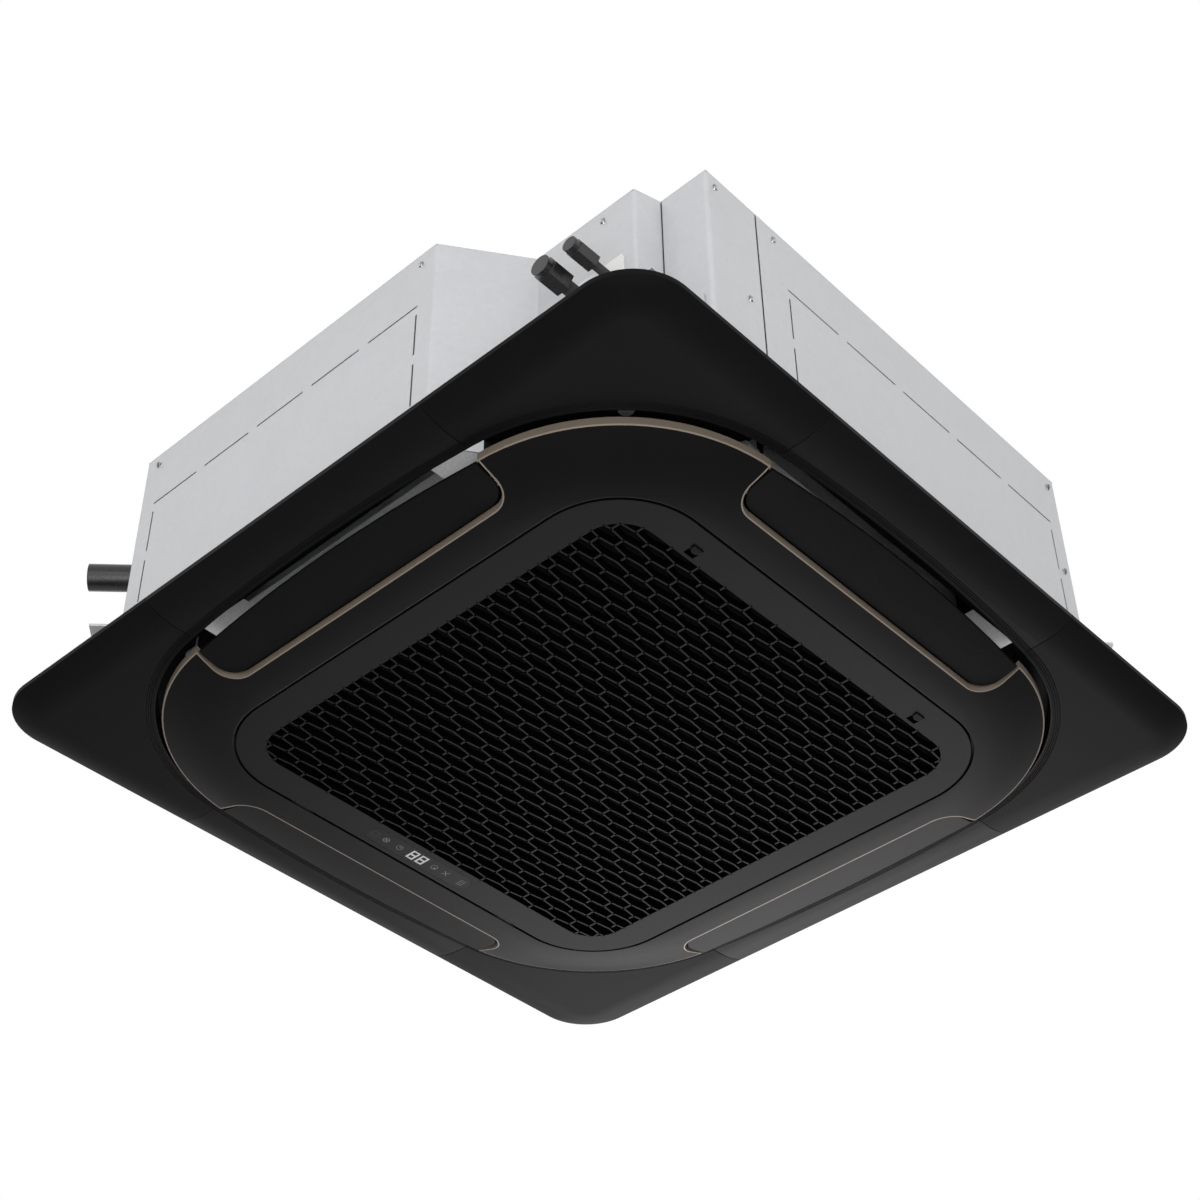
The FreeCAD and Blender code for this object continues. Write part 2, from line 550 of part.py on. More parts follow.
louver_pin = rod("louver_pin_low", "louver_pin_radius",
                 (f"-{pin_reach}", "-louver_axis_half", "louver_axis_level"),
                 f"{pin_reach} - {flap_end} + lug_length", TO_X)
louver_pin_high = rod("louver_pin_high", "louver_pin_radius",
                      (f"{flap_end} - lug_length", "-louver_axis_half", "louver_axis_level"),
                      f"{pin_reach} - {flap_end} + lug_length", TO_X)
louver = joined("louver_stock", flap, *lugs, louver_pin, louver_pin_high)
motor_start = f"-({bearing_low} + bearing_length + motor_can_length)"
motor_can = rod("motor_can", "motor_can_radius", (motor_start, "-louver_axis_half", "louver_axis_level"),
                "motor_can_length", TO_X)
motor_end = f"{motor_start} + motor_can_length"
motor_tab = box("motor_tab", (f"{motor_end} - motor_ear", motor_end),
                ("-louver_axis_half - bearing_width/2", "-louver_axis_half + bearing_width/2"),
                ("louver_axis_level", "deck_level"))
louver_motor = joined("louver_motor_stock", motor_can, motor_tab)
for side, angle in SIDES.items():
    node(f"louver_{side}", turned(f"louver_solid_{side}", louver, angle))
    node(f"louver_motor_{side}", turned(f"louver_motor_solid_{side}", louver_motor, angle))

# Intake grille: a flat border and a deeper honeycomb, cut as one holed face each
def ring_wire(half, radius, level, x=0, y=0, half_y=None):
    """A rounded rectangle as a wire at a level."""
    half_y = half_y or half
    edges = []
    spots = [(half - radius, -half_y), (half, radius - half_y),
             (half, half_y - radius), (half - radius, half_y),
             (radius - half, half_y), (-half, half_y - radius),
             (-half, radius - half_y), (radius - half, -half_y)]
    middles = [(half - radius, radius - half_y), (half - radius, half_y - radius),
               (radius - half, half_y - radius), (radius - half, radius - half_y)]
    for i, (mx, my) in enumerate(middles):
        start, end = spots[2 * i], spots[2 * i + 1]
        away = Vector(start[0] + end[0] - 2 * mx, start[1] + end[1] - 2 * my, 0).normalize() * radius
        edges.append(Part.Arc(Vector(x + start[0], y + start[1], level), Vector(x + mx, y + my, level) + away,
                              Vector(x + end[0], y + end[1], level)).toShape())
        follow = spots[(2 * i + 2) % 8]
        here, there = (Vector(x + spot[0], y + spot[1], level) for spot in (end, follow))
        edges.append(Part.LineSegment(here, there).toShape())
    return Part.Wire(edges)


def honeycomb_cells(level):
    """Wires of the long six-sided cells, staggered by half a cell, kept inside the opening."""
    across, along = value("cell_pitch_across"), value("cell_pitch_along")
    end_half = along / 2 - value("cell_bar") / 2
    wide_half = across / 2 + value("cell_wave") - value("cell_rib") / 2
    narrow_half = across / 2 - value("cell_wave") - value("cell_rib") / 2
    half, radius = value("mesh_half"), value("mesh_radius")
    opening = Part.Face(ring_wire(half, radius, level))
    least_area = end_half * narrow_half / 2
    columns = math.ceil(half / across)
    rows = math.ceil(half / along) + 1
    right_side = [(narrow_half, -end_half), (wide_half, 0), (narrow_half, end_half)]
    points = right_side + [(-x, y) for x, y in right_side[::-1]]
    wires = []
    for column in range(-columns, columns):
        x = (column + 0.5) * across
        shift = along / 2 if column % 2 == 0 else along
        for row in range(-rows, rows):
            y = row * along + shift
            deep_x, deep_y = abs(x) + wide_half - half, abs(y) + end_half - half
            if deep_x > 2 * wide_half or deep_y > 2 * end_half:
                continue
            corners = [Vector(x + px, y + py, level) for px, py in points]
            wire = Part.makePolygon(corners + corners[:1])
            if deep_x < 0 and deep_y < 0 and (deep_x < -radius or deep_y < -radius):
                wires.append(wire)
                continue
            kept = Part.Face(wire).common(opening)
            wires += [face.OuterWire for face in kept.Faces if face.Area > least_area]
    return wires


def plate_with_holes(outer, holes, height):
    """A flat plate: one outer wire, its holes and its height."""
    face = Part.Face([outer] + holes)
    face.validate()
    return face.extrude(Vector(0, 0, height))


face_level = value(FACE)
rim = value("mesh_half + mesh_rim")
rim_corner = value("mesh_radius + mesh_rim")
honeycomb = plate_with_holes(
    ring_wire(rim, rim_corner, face_level), honeycomb_cells(face_level), value("grille_depth"))
display_x = value("display_inset - seam_half")
display_hole = ring_wire(value("display_width/2 + display_fit"), value("display_width/2 - display_flat"),
                         face_level, display_x, 0, value("display_length/2 + display_fit"))
latch_far = value("seam_half - latch_inset + latch_fit")
latch_near = value("seam_half - latch_inset - latch_depth - latch_travel - latch_fit")
latch_half = value("latch_width/2 + latch_fit")
latch_holes = []
for sign in (-1, 1):
    y = sign * value("latch_offset")
    spots = [(latch_near, y - latch_half), (latch_far, y - latch_half), (latch_far, y + latch_half),
             (latch_near, y + latch_half)]
    points = [Vector(px, py, face_level) for px, py in spots]
    latch_holes.append(Part.makePolygon(points + points[:1]))
border_holes = [ring_wire(rim, rim_corner, face_level), display_hole] + latch_holes
border_edge = ring_wire(value("seam_half"), value("seam_radius"), face_level)
border = plate_with_holes(border_edge, border_holes, value("grille_skin"))


def on_lower_edge(spot):
    """True for a corner of the border that lies on its outer lower edge."""
    outside = max(abs(spot.x), abs(spot.y)) > value("seam_half - seam_chamfer")
    return outside and spot.z < value(f"{FACE} + seam_chamfer")


lower_edges = [edge for edge in border.Edges if all(on_lower_edge(end.Point) for end in edge.Vertexes)]
border = border.makeChamfer(value("seam_chamfer"), lower_edges)
barrels, pin_holes, ear_notches = [], [], []
barrel_length, notch_length = value("knuckle_length"), value("ear_thickness + 2 * ear_gap")
notch_low, notch_wide = value(f"{HINGE_X} - overrun"), value("overrun + ear_half_width + ear_gap")
for sign in (-1, 1):
    low = sign * value("hinge_spread") - barrel_length / 2
    spot, along = Vector(value(HINGE_X), low, value(HINGE_Z)), Vector(0, 1, 0)
    barrels.append(Part.makeCylinder(value("knuckle_radius"), barrel_length, spot, along))
    hole_radius = value("hinge_pin_radius + running_clearance")
    pin_holes.append(Part.makeCylinder(hole_radius, barrel_length, spot, along))
    for notch_y_low in (low - notch_length, low + barrel_length):
        corner_spot = Vector(notch_low, notch_y_low, face_level)
        ear_notches.append(Part.makeBox(notch_wide, notch_length, value("grille_skin"), corner_spot))
border = border.cut(ear_notches).fuse(barrels).cut(pin_holes)
node("intake_grille", feature("grille_solid", border.fuse(honeycomb)))

# Filter: a frame with ribs behind the honeycomb and a fine sheet stretched in it
filter_back = f"({GRILLE_BACK} + filter_height)"
filter_block = extrude("filter_block", rounded(
    loose_sketch("filter_outside", GRILLE_BACK), "filter_outer_half", "filter_outer_half",
    "filter_corner_radius + filter_outer_half - filter_inner_half"), "filter_height")
filter_inside = rounded(loose_sketch("filter_inside", GRILLE_BACK), "filter_inner_half", "filter_inner_half",
                        "filter_corner_radius")
filter_void = extrude("filter_void", filter_inside, "filter_height")
sheet_top = f"({GRILLE_BACK} + filter_sheet_lift + filter_sheet)"
rib_solids = []
for number in range(-1, 2):
    spot = f"{number} * filter_inner_half/2"
    across = (f"{spot} - filter_rib/2", f"{spot} + filter_rib/2")
    along = ("-filter_inner_half", "filter_inner_half")
    rib_solids.append(box(f"rib_x_{number + 1}", across, along, (sheet_top, filter_back)))
    rib_solids.append(box(f"rib_y_{number + 1}", along, across, (sheet_top, filter_back)))
filter_ring = less("filter_ring", filter_block, filter_void)
node("filter_frame", joined("filter_frame_solid", filter_ring, *rib_solids))
filter_sheet_half = "filter_inner_half - filter_fit"
filter_sheet_edge = rounded(loose_sketch("filter_sheet_edge", f"{GRILLE_BACK} + filter_sheet_lift"),
                            filter_sheet_half, filter_sheet_half, "filter_corner_radius")
node("filter_sheet", extrude("filter_sheet_solid", filter_sheet_edge, "filter_sheet"))

# Display: a window flush in the border and its board behind
display_edge = rounded(loose_sketch("display_edge", FACE), "display_width/2", "display_length/2",
                       "display_width/2 - display_flat", "display_inset - seam_half")
node("display_window", extrude("display_window_solid", display_edge, "grille_skin"))
board_half_x = "(display_width/2 + display_board_margin)"
board_half_y = "(display_length/2 + display_board_margin)"
node("display_board", box(
    "display_board_solid",
    (f"display_inset - seam_half - {board_half_x}", f"display_inset - seam_half + {board_half_x}"),
    (f"-{board_half_y}", board_half_y), (SKIN_BACK, f"{SKIN_BACK} + display_board_thickness")))

# Latches: a half-round finger tab on a slider with a tongue at the seam
for name, sign in (("front", -1), ("back", 1)):
    middle = f"{sign} * latch_offset"
    ys = (f"{middle} - latch_width/2", f"{middle} + latch_width/2")
    slider_low = f"{SKIN_BACK} + latch_rise"
    tab_far = "seam_half - latch_inset"
    tab_plan = loose_sketch(f"latch_plan_{name}", f"{FACE} - latch_stand")
    outline(tab_plan, [(tab_far, ys[0]), (tab_far, ys[1]), (f"{tab_far} - latch_depth/2", ys[1]),
                       (f"{tab_far} - latch_depth/2", ys[0])], {2: ("latch_width * latch_round_share", 1)})
    tab = extrude(f"latch_tab_{name}", tab_plan, f"{slider_low} - ({FACE} - latch_stand) + latch_slider")
    slider_reach = (f"{tab_far} - latch_depth - latch_overlap", "seam_half - latch_overlap")
    slider = box(f"latch_slider_{name}", slider_reach, ys, (slider_low, f"{slider_low} + latch_slider"))
    node(f"grille_latch_{name}", joined(f"latch_solid_{name}", tab, slider))

# Casing: folded galvanised sheets round the plan, and a top plate
notch_y = f"(notch_depth - {HALF})"
jog_x = "(notch_start + notch_turn + notch_run + notch_jog_out)"
jog_y = f"(notch_depth + notch_jog_back - {HALF})"
seam_y = f"({jog_y} + wrap_flange)"
PLAN = {
    "left_front": (f"-{HALF}", f"casing_chamfer - {HALF}"),
    "front_left": (f"casing_chamfer - {HALF}", f"-{HALF}"),
    "notch_start": ("notch_start", f"-{HALF}"), "notch_bend": ("notch_start + notch_turn", notch_y),
    "notch_end": ("notch_start + notch_turn + notch_run", notch_y), "jog": (jog_x, jog_y),
    "front_right": (HALF, jog_y), "right_back": (HALF, f"{HALF} - casing_chamfer"),
    "back_right": (f"{HALF} - casing_chamfer", HALF), "back_left": (f"casing_chamfer - {HALF}", HALF),
    "left_back": (f"-{HALF}", f"{HALF} - casing_chamfer"),
}
EXTRA = {
    "wrap_end": (HALF, seam_y), "cover_start": (HALF, f"{seam_y} + cover_plate_gap"),
    "jog_start": (f"{jog_x} + corner_gap", jog_y),
    "back_start": (f"{HALF} - casing_chamfer - corner_gap", HALF),
    "left_start": (f"-{HALF}", f"{HALF} - casing_chamfer - corner_gap"),
    "left_end": (f"-{HALF}", f"casing_chamfer - {HALF} + corner_gap"),
}
casing_plan = outline(loose_sketch("casing_plan", BASE), list(PLAN.values()))


def inset_column(name, inset, low, height):
    """The casing's plan, drawn in by a wall, as a column."""
    rim_wire = doc.addObject("Part::Offset2D", f"{name}_plan")
    rim_wire.Source = casing_plan
    rim_wire.Join = 2
    tie(rim_wire, Value=f"-({inset})")
    column = extrude(name, rim_wire, height)
    return place(column, z=f"{low} - ({BASE})")


def folded_sheet(name, stops):
    """A sheet bent round a run of plan corners, with its outside on the plan and its wall inward."""
    places = [PLAN.get(stop) or EXTRA[stop] for stop in stops]
    spots = [Vector(value(x), value(y), value(BASE)) for x, y in places]
    radius, wall = value("bend_radius"), value("sheet_metal")
    runs = [(end - start).normalize() for start, end in zip(spots, spots[1:])]
    lefts = [Vector(-run.y, run.x, 0) for run in runs]
    outside, inside = [], []
    first_in = spots[0] + lefts[0] * wall
    here, here_in = spots[0], first_in
    for i, bend in enumerate(spots[1:-1]):
        setback = radius * math.tan(runs[i].getAngle(runs[i + 1]) / 2)
        side = 1 if runs[i].cross(runs[i + 1]).z > 0 else -1
        start, end = bend - runs[i] * setback, bend + runs[i + 1] * setback
        centre = start + lefts[i] * (side * radius)
        towards = (centre - bend).normalize()
        start_in, end_in = start + lefts[i] * wall, end + lefts[i + 1] * wall
        outside.append(Part.LineSegment(here, start).toShape())
        outside.append(Part.Arc(start, centre - towards * radius, end).toShape())
        inside.append(Part.LineSegment(here_in, start_in).toShape())
        inside.append(Part.Arc(start_in, centre - towards * (radius - side * wall), end_in).toShape())
        here, here_in = end, end_in
    last_in = spots[-1] + lefts[-1] * wall
    outside.append(Part.LineSegment(here, spots[-1]).toShape())
    inside.append(Part.LineSegment(here_in, last_in).toShape())
    last_cap = Part.LineSegment(spots[-1], last_in).toShape()
    first_cap = Part.LineSegment(first_in, spots[0]).toShape()
    face = Part.Face(Part.Wire(outside + [last_cap] + inside[::-1] + [first_cap]))
    return feature(f"{name}_stock", face.extrude(Vector(0, 0, value("casing_height - sheet_metal"))))


def slit_row(name, face, start, end, level_low, level_high):
    """Knock-out slits on a flat side: a broken line along the top and down both ends."""
    slits = []
    count = int(value("slit_count"))
    length = f"(({end}) - ({start}) - {count - 1} * slit_bridge) / {count}"
    for i in range(count):
        low = f"({start}) + {i} * ({length} + slit_bridge)"
        slits.append((low, f"{low} + {length}", f"{level_high} - slit_width", level_high))
    drop = f"(({level_high}) - ({level_low}) - 2 * slit_bridge) / 2"
    for spot in (start, f"{end} - slit_width"):
        for i in range(2):
            high = f"({level_high}) - slit_bridge - {i} * ({drop} + slit_bridge)"
            slits.append((spot, f"{spot} + slit_width", f"{high} - {drop}", high))
    tools = []
    for i, (low, high, z_low, z_high) in enumerate(slits):
        through = (f"{face} - 2 * sheet_metal", f"{face} + 2 * sheet_metal")
        xs, ys = ((low, high), through) if name.startswith("front") else (through, (low, high))
        tools.append(box(f"{name}_slit_{i}", xs, ys, (z_low, z_high)))
    return tools


# Screws of the casing: places on the faces and the way each one points
screw_high = f"{UNDER_TOP} - screw_edge"
screw_low = f"{BASE} + casing_height/2"
FRONT, RIGHT, BACK, LEFT = (0, -1, 0), (1, 0, 0), (0, 1, 0), (-1, 0, 0)
SCREWS = [
    ("notch_start - slit_inset", f"-{HALF}", screw_high, FRONT),
    (f"casing_chamfer - {HALF} + slit_inset", f"-{HALF}", screw_high, FRONT),
    ("notch_start + notch_turn + notch_run * notch_screw_share", notch_y, screw_high, FRONT),
    (HALF, f"{jog_y} + screw_edge", screw_high, RIGHT),
    (HALF, f"{seam_y} - screw_edge", screw_low, RIGHT),
    (HALF, f"{seam_y} + screw_edge * 2", screw_high, RIGHT),
    (HALF, f"{HALF} - casing_chamfer - screw_edge", screw_high, RIGHT),
    (HALF, f"{HALF} - casing_chamfer - screw_edge", screw_low, RIGHT),
    (f"{HALF} - casing_chamfer - screw_edge", HALF, screw_high, BACK),
    (f"casing_chamfer - {HALF} + screw_edge", HALF, screw_high, BACK),
    (f"-{HALF}", f"{HALF} - casing_chamfer - screw_edge * 2", screw_high, LEFT),
    (f"-{HALF}", f"casing_chamfer - {HALF} + screw_edge * 2", screw_high, LEFT),
]
screw_solids = []
screw_bores = []
for x, y, z, way in SCREWS:
    spot, out = Vector(value(x), value(y), value(z)), Vector(*way)
    head_radius, head_height = value("screw_head_radius"), value("screw_head_height")
    shank = Part.makeCylinder(value("screw_shank_radius"), value("screw_shank_length"), spot, -out)
    head = Part.makeCylinder(head_radius, head_height / 2, spot, out)
    crown_radius, crown_spot = head_radius * value("screw_crown_share"), spot + out * (head_height / 2)
    crown = Part.makeCone(head_radius, crown_radius, head_height / 2, crown_spot, out)
    screw_solids.append(head.fuse([crown, shank]).removeSplitter())
    screw_bores.append(shank)
screw_bore_set = feature("screw_bores", Part.makeCompound(screw_bores))
node("casing_screws", feature("casing_screw_set", Part.makeCompound(screw_solids)))

# Pipes, drain and pump places that the casing is bored for
gas_spot = ("header_x_gas", f"{notch_y} - pipe_reach", "gas_level")
liquid_spot = ("header_x_liquid", f"{notch_y} - pipe_reach", "liquid_level")
drain_turn = Rotation(Vector(0, 0, 1), Vector(-1, -1, 0))
wall_reach = f"(2 * {HALF} - casing_chamfer) / sqrt(2)"
drain_z = "(casing_lift + drain_level)"


def along_drain(distance):
    """A point on the drain's line, out from the vertical axis towards the front left corner."""
    return (f"-({distance}) / sqrt(2)", f"-({distance}) / sqrt(2)", drain_z)


pump_reach = "pump_corner * sqrt(2)"
gas_bore = rod("gas_bore", "gas_pipe_radius + pipe_bore_gap", gas_spot, "2 * pipe_reach", TO_Y)
liquid_bore = rod("liquid_bore", "liquid_pipe_radius + pipe_bore_gap", liquid_spot, "2 * pipe_reach", TO_Y)
drain_bore = rod("drain_bore", "outlet_radius + pipe_bore_gap",
                 along_drain(f"{wall_reach} - liner_thickness - overrun"),
                 "liner_thickness + 2 * overrun", drain_turn)
slit_top, slit_bottom = f"{UNDER_TOP} - slit_drop", f"{UNDER_TOP} - slit_drop - slit_height"
front_slits = slit_row("front", f"-{HALF}", f"casing_chamfer - {HALF} + slit_inset",
                       "notch_start - slit_inset", slit_bottom, slit_top)
right_slits = slit_row("right", HALF, f"{seam_y} + slit_inset * 2", f"{HALF} - casing_chamfer - slit_inset",
                       slit_bottom, slit_top)
front_stops = ["left_front", "front_left", "notch_start", "notch_bend", "notch_end", "jog"]
front_stock = folded_sheet("front_sheet", front_stops)
notch_stock = folded_sheet("notch_sheet", ["jog_start", "front_right", "wrap_end"])
node("casing_front", less("casing_front_solid", front_stock, screw_bore_set, gas_bore, liquid_bore, drain_bore,
                          *front_slits))
node("casing_notch", less("casing_notch_solid", notch_stock, screw_bore_set))
right_stock = folded_sheet("right_sheet", ["cover_start", "right_back", "back_right"])
node("casing_right", less("casing_right_solid", right_stock, screw_bore_set, *right_slits))
back_stock = folded_sheet("back_sheet", ["back_start", "back_left", "left_back"])
node("casing_back", less("casing_back_solid", back_stock, screw_bore_set))
left_stock = box("left_stock", (f"-{HALF}", f"sheet_metal - {HALF}"),
                 (EXTRA["left_end"][1], EXTRA["left_start"][1]), (BASE, UNDER_TOP))
node("casing_left", less("casing_left_solid", left_stock, screw_bore_set))
top_column = extrude("top_column", casing_plan, "sheet_metal")
node("casing_top", place(top_column, z=f"{UNDER_TOP} - ({BASE})"))

# Hangers: an angle on each corner with a hole for the rod
hangers = []
hanger_z = "(casing_lift + hanger_level)"
arm_half = "(abs(hanger_pitch_x - hanger_pitch_y) / (2 * sqrt(2)) + hanger_end)"
for number, (sx, sy) in enumerate(((1, 1), (-1, 1), (-1, -1))):
    angle = math.degrees(math.atan2(sy, sx))
    plate = box(f"hanger_plate_{number}", (wall_reach, f"{wall_reach} + 2 * hanger_end"),
                (f"-{arm_half}", arm_half), (hanger_z, f"{hanger_z} + hanger_plate"))
    web = box(f"hanger_web_{number}", (wall_reach, f"{wall_reach} + hanger_plate"),
              (f"-{arm_half}", arm_half), (hanger_z, f"{hanger_z} + hanger_flange"))
    hole = rod(f"hanger_hole_{number}", "hanger_hole_radius",
               (f"{sx} * hanger_pitch_x/2", f"{sy} * hanger_pitch_y/2", hanger_z), "overrun")
    arm = turned(f"hanger_arm_{number}", joined(f"hanger_stock_{number}", plate, web), angle)
    hangers.append(less(f"hanger_{number}", arm, hole))
notch_left = "hanger_pitch_x/2 - hanger_half_width"
notch_plate = box("hanger_plate_notch", (notch_left, "hanger_pitch_x/2 + hanger_end - sheet_metal"),
                  ("-hanger_pitch_y/2 - hanger_end", jog_y), (hanger_z, f"{hanger_z} + hanger_plate"))
notch_web = box("hanger_web_notch", (notch_left, "hanger_pitch_x/2 + hanger_end/2"),
                (f"{jog_y} - hanger_plate", jog_y), (hanger_z, f"{hanger_z} + hanger_flange"))
notch_hole = rod("hanger_hole_notch", "hanger_hole_radius",
                 ("hanger_pitch_x/2", "-hanger_pitch_y/2", hanger_z), "overrun")
hangers.append(less("hanger_notch", joined("hanger_stock_notch", notch_plate, notch_web), notch_hole))
node("hanger_brackets", grouped("hanger_set", *hangers))

# Foam liner, drain pan and bell mouth
liner_low = PAN_TOP
liner_block = inset_column("liner_block", "sheet_metal + liner_fit", liner_low, f"{UNDER_TOP} - {liner_low}")
liner_void = inset_column("liner_void", "sheet_metal + liner_thickness", liner_low,
                          f"{LINER_TOP} - {liner_low}")
motor_hole = rod("motor_hole", "motor_plate_radius + liner_fit", ("0", "0", f"{LINER_TOP} - overrun"),
                 "2 * overrun + liner_thickness")
node("foam_liner", less("foam_liner_solid", liner_block, liner_void, motor_hole, screw_bore_set, gas_bore,
                        liquid_bore, drain_bore))
pan_block = inset_column("pan_block", "sheet_metal + liner_fit", BASE, "pan_height")
pan_slots = []
for side, angle in SIDES.items():
    far = "pan_slot_short" if side == "front" else "pan_slot_half"
    slot = box(f"pan_slot_stock_{side}", ("-pan_slot_half", far), ("-pan_slot_outer", "-pan_slot_inner"),
               (f"{BASE} - overrun", f"{PAN_TOP} + overrun"))
    pan_slots.append(turned(f"pan_slot_{side}", slot, angle))
trough_floor = f"({PAN_TOP} - trough_depth)"
trough_outside = rounded(loose_sketch("trough_outside", trough_floor), "trough_outer_half",
                         "trough_outer_half", "trough_radius")
trough_block = extrude("trough_block", trough_outside, "trough_depth")
trough_island = extrude("trough_island", rounded(
    loose_sketch("trough_inside", trough_floor), "trough_inner_half", "trough_inner_half",
    "trough_radius - (trough_outer_half - trough_inner_half)"), "trough_depth")
pan_hole = rod("pan_hole", "pan_hole_radius", ("0", "0", f"{BASE} - overrun"), "pan_height + 2 * overrun")
trough = less("trough", trough_block, trough_island)
node("drain_pan", less("drain_pan_solid", pan_block, trough, pan_hole, *pan_slots))

bell = doc.addObject("PartDesign::Body", "bell")


def plane_sketch(body, name, role, offset="0"):
    """A sketch attached to one of its own body's planes."""
    sketch = body.newObject("Sketcher::SketchObject", name)
    plane = [item for item in body.Origin.OriginFeatures if item.Role == role][0]
    sketch.AttachmentSupport = [(plane, "")]
    sketch.MapMode = "FlatFace"
    return tie(sketch, AttachmentOffset__Base__z=offset)


def revolve(body, name, corners, arcs=None):
    """A full turn of a section about the vertical axis; a section's x is the radius and y the height."""
    section = outline(plane_sketch(body, f"{name}_section", "XZ_Plane"), corners, arcs)
    turn = body.newObject("PartDesign::Revolution", name)
    turn.Profile = section
    turn.ReferenceAxis = (section, ["V_Axis"])
    turn.Angle = 360
    return turn


def pad(body, name, sketch, height):
    """A pad that stands up from its sketch."""
    solid = body.newObject("PartDesign::Pad", name)
    solid.Profile = sketch
    return tie(solid, Length=height)


bell_low = f"({BASE} - bell_plate)"
plate_sketch = plane_sketch(bell, "bell_plate_edge", "XY_Plane", bell_low)
rectangle(plate_sketch, ("-bell_plate_half", "bell_plate_half"), ("-bell_plate_half", "bell_plate_half"))
circle(plate_sketch, "0", "0", "bell_mouth_radius")
pad(bell, "bell_plate_pad", plate_sketch, "bell_plate")
bell_top = f"({bell_low} + bell_height)"
revolve(bell, "bell_flare", [
    ("bell_mouth_radius", bell_low), ("bell_mouth_radius + bell_wall", bell_low),
    ("bell_throat_radius + bell_wall", bell_top), ("bell_throat_radius", bell_top)])
node("bell_mouth", bell)

# Control box under the bell mouth: tray, cover, board and terminals
box_low = f"({bell_low} - box_height)"
tray_block = box("tray_block", ("box_inner_x", "box_outer_x"), ("-box_half_length", "box_half_length"),
                 (box_low, bell_low))
tray_void = box("tray_void", ("box_inner_x + box_wall", "box_outer_x - box_wall"),
                ("box_wall - box_half_length", "box_half_length - box_wall"),
                (box_low, f"{bell_low} - box_wall"))
post_run = "(box_outer_x - box_inner_x - 2 * box_wall - 4 * board_margin)"
board_high = f"({bell_low} - box_wall - board_post)"
posts = []
for number, (sx, sy) in enumerate(((0, -1), (1, -1), (1, 1), (0, 1))):
    x = f"box_inner_x + box_wall + 2 * board_margin + {sx} * {post_run}"
    y = f"{sy} * (box_half_length - box_wall - 2 * board_margin)"
    posts.append(rod(f"board_post_{number}", "board_post_radius", (x, y, board_high), "board_post"))
node("control_box", joined("control_box_solid", less("tray", tray_block, tray_void), *posts))
node("control_box_cover", box("control_box_cover_solid", ("box_inner_x", "box_outer_x"),
                              ("-box_half_length", "box_half_length"), (f"{box_low} - box_cover", box_low)))
inside = "box_wall + board_margin/2"
node("circuit_board", box("circuit_board_solid", (f"box_inner_x + {inside}", f"box_outer_x - ({inside})"),
                          (f"{inside} - box_half_length", f"box_half_length - ({inside})"),
                          (f"{board_high} - board_thickness", board_high)))
terminal_x, board_low = "box_inner_x + box_wall + board_margin", f"{board_high} - board_thickness"
node("terminal_block", box("terminal_block_solid", (terminal_x, f"{terminal_x} + terminal_width"),
                           ("-terminal_length/2", "terminal_length/2"),
                           (f"{board_low} - terminal_height", board_low)))

# Coil: a finned ring that stands in the trough, open at the pipe corner, with headers and pipes
coil_height = f"{LINER_TOP} - coil_top_gap - {trough_floor}"
coil_outside = rounded(loose_sketch("coil_outside", trough_floor), "coil_outer_half", "coil_outer_half",
                       "coil_radius")
coil_block = extrude("coil_block", coil_outside, coil_height)
coil_inner = "(coil_outer_half - coil_depth)"
coil_inside = rounded(loose_sketch("coil_inside", trough_floor), coil_inner, coil_inner,
                      "coil_radius - coil_depth")
coil_void = extrude("coil_void", coil_inside, coil_height)
coil_gap = box("coil_gap", ("coil_end", "coil_outer_half + overrun"),
               ("-coil_outer_half - overrun", "-coil_end"),
               (f"{trough_floor} - overrun", f"{LINER_TOP} + overrun"))
node("coil_fins", less("coil_fins_solid", coil_block, coil_void, coil_gap))
header_low, header_high = f"({PAN_TOP} + header_inset)", f"({LINER_TOP} - header_inset)"
header_height = f"({header_high} - {header_low})"
header_rods = {}
for name in ("gas", "liquid"):
    foot = (f"header_x_{name}", "-header_y", header_low)
    header_rods[name] = rod(f"{name}_header", "header_radius", foot, header_height)
gas_feeders, liquid_feeders = [], []
feeder_pitch = f"(({header_height} - 2 * header_radius) / (feeder_count - 1))"
for number in range(int(value("feeder_count"))):
    level = f"{header_low} + header_radius + {number} * {feeder_pitch}"
    gas_feeders.append(rod(f"gas_feeder_{number}", "feeder_radius", ("coil_end", "-header_y", level),
                           "header_x_gas - coil_end", TO_X))
    liquid_feeders.append(rod(f"liquid_feeder_{number}", "feeder_radius",
                              ("header_x_liquid", "-header_y", level), "header_y - coil_end", TO_Y))
gas_header = joined("gas_header_solid", header_rods["gas"], *gas_feeders)
liquid_header = joined("liquid_header_solid", header_rods["liquid"], *liquid_feeders)
node("coil_headers", grouped("header_set", gas_header, liquid_header))
for name, spot in (("gas", gas_spot), ("liquid", liquid_spot)):
    radius = f"{name}_pipe_radius"
    pipe = rod(f"{name}_pipe_stock", radius, spot, f"-header_y - ({spot[1]})", TO_Y)
    node(f"{name}_pipe", less(f"{name}_pipe_solid", pipe, header_rods[name]))
    cap = doc.addObject("Part::Prism", f"{name}_cap_hex")
    cap.Polygon = 6
    cap.Placement = Placement(Vector(), TO_Y)
    tie(cap, Circumradius=f"cap_radius_{name}", Height="cap_length")
    place(cap, spot[0], f"{spot[1]} - cap_length/2", spot[2])
    nose = rod(f"{name}_cap_nose", f"cap_radius_{name} * cap_nose_share",
               (spot[0], f"{spot[1]} - cap_length/2", spot[2]), "cap_nose", TO_MINUS_Y)
    hole = rod(f"{name}_cap_hole", radius, spot, "cap_length", TO_Y)
    node(f"{name}_pipe_cap", less(f"{name}_cap_solid", joined(f"{name}_cap_stock", cap, nose), hole))
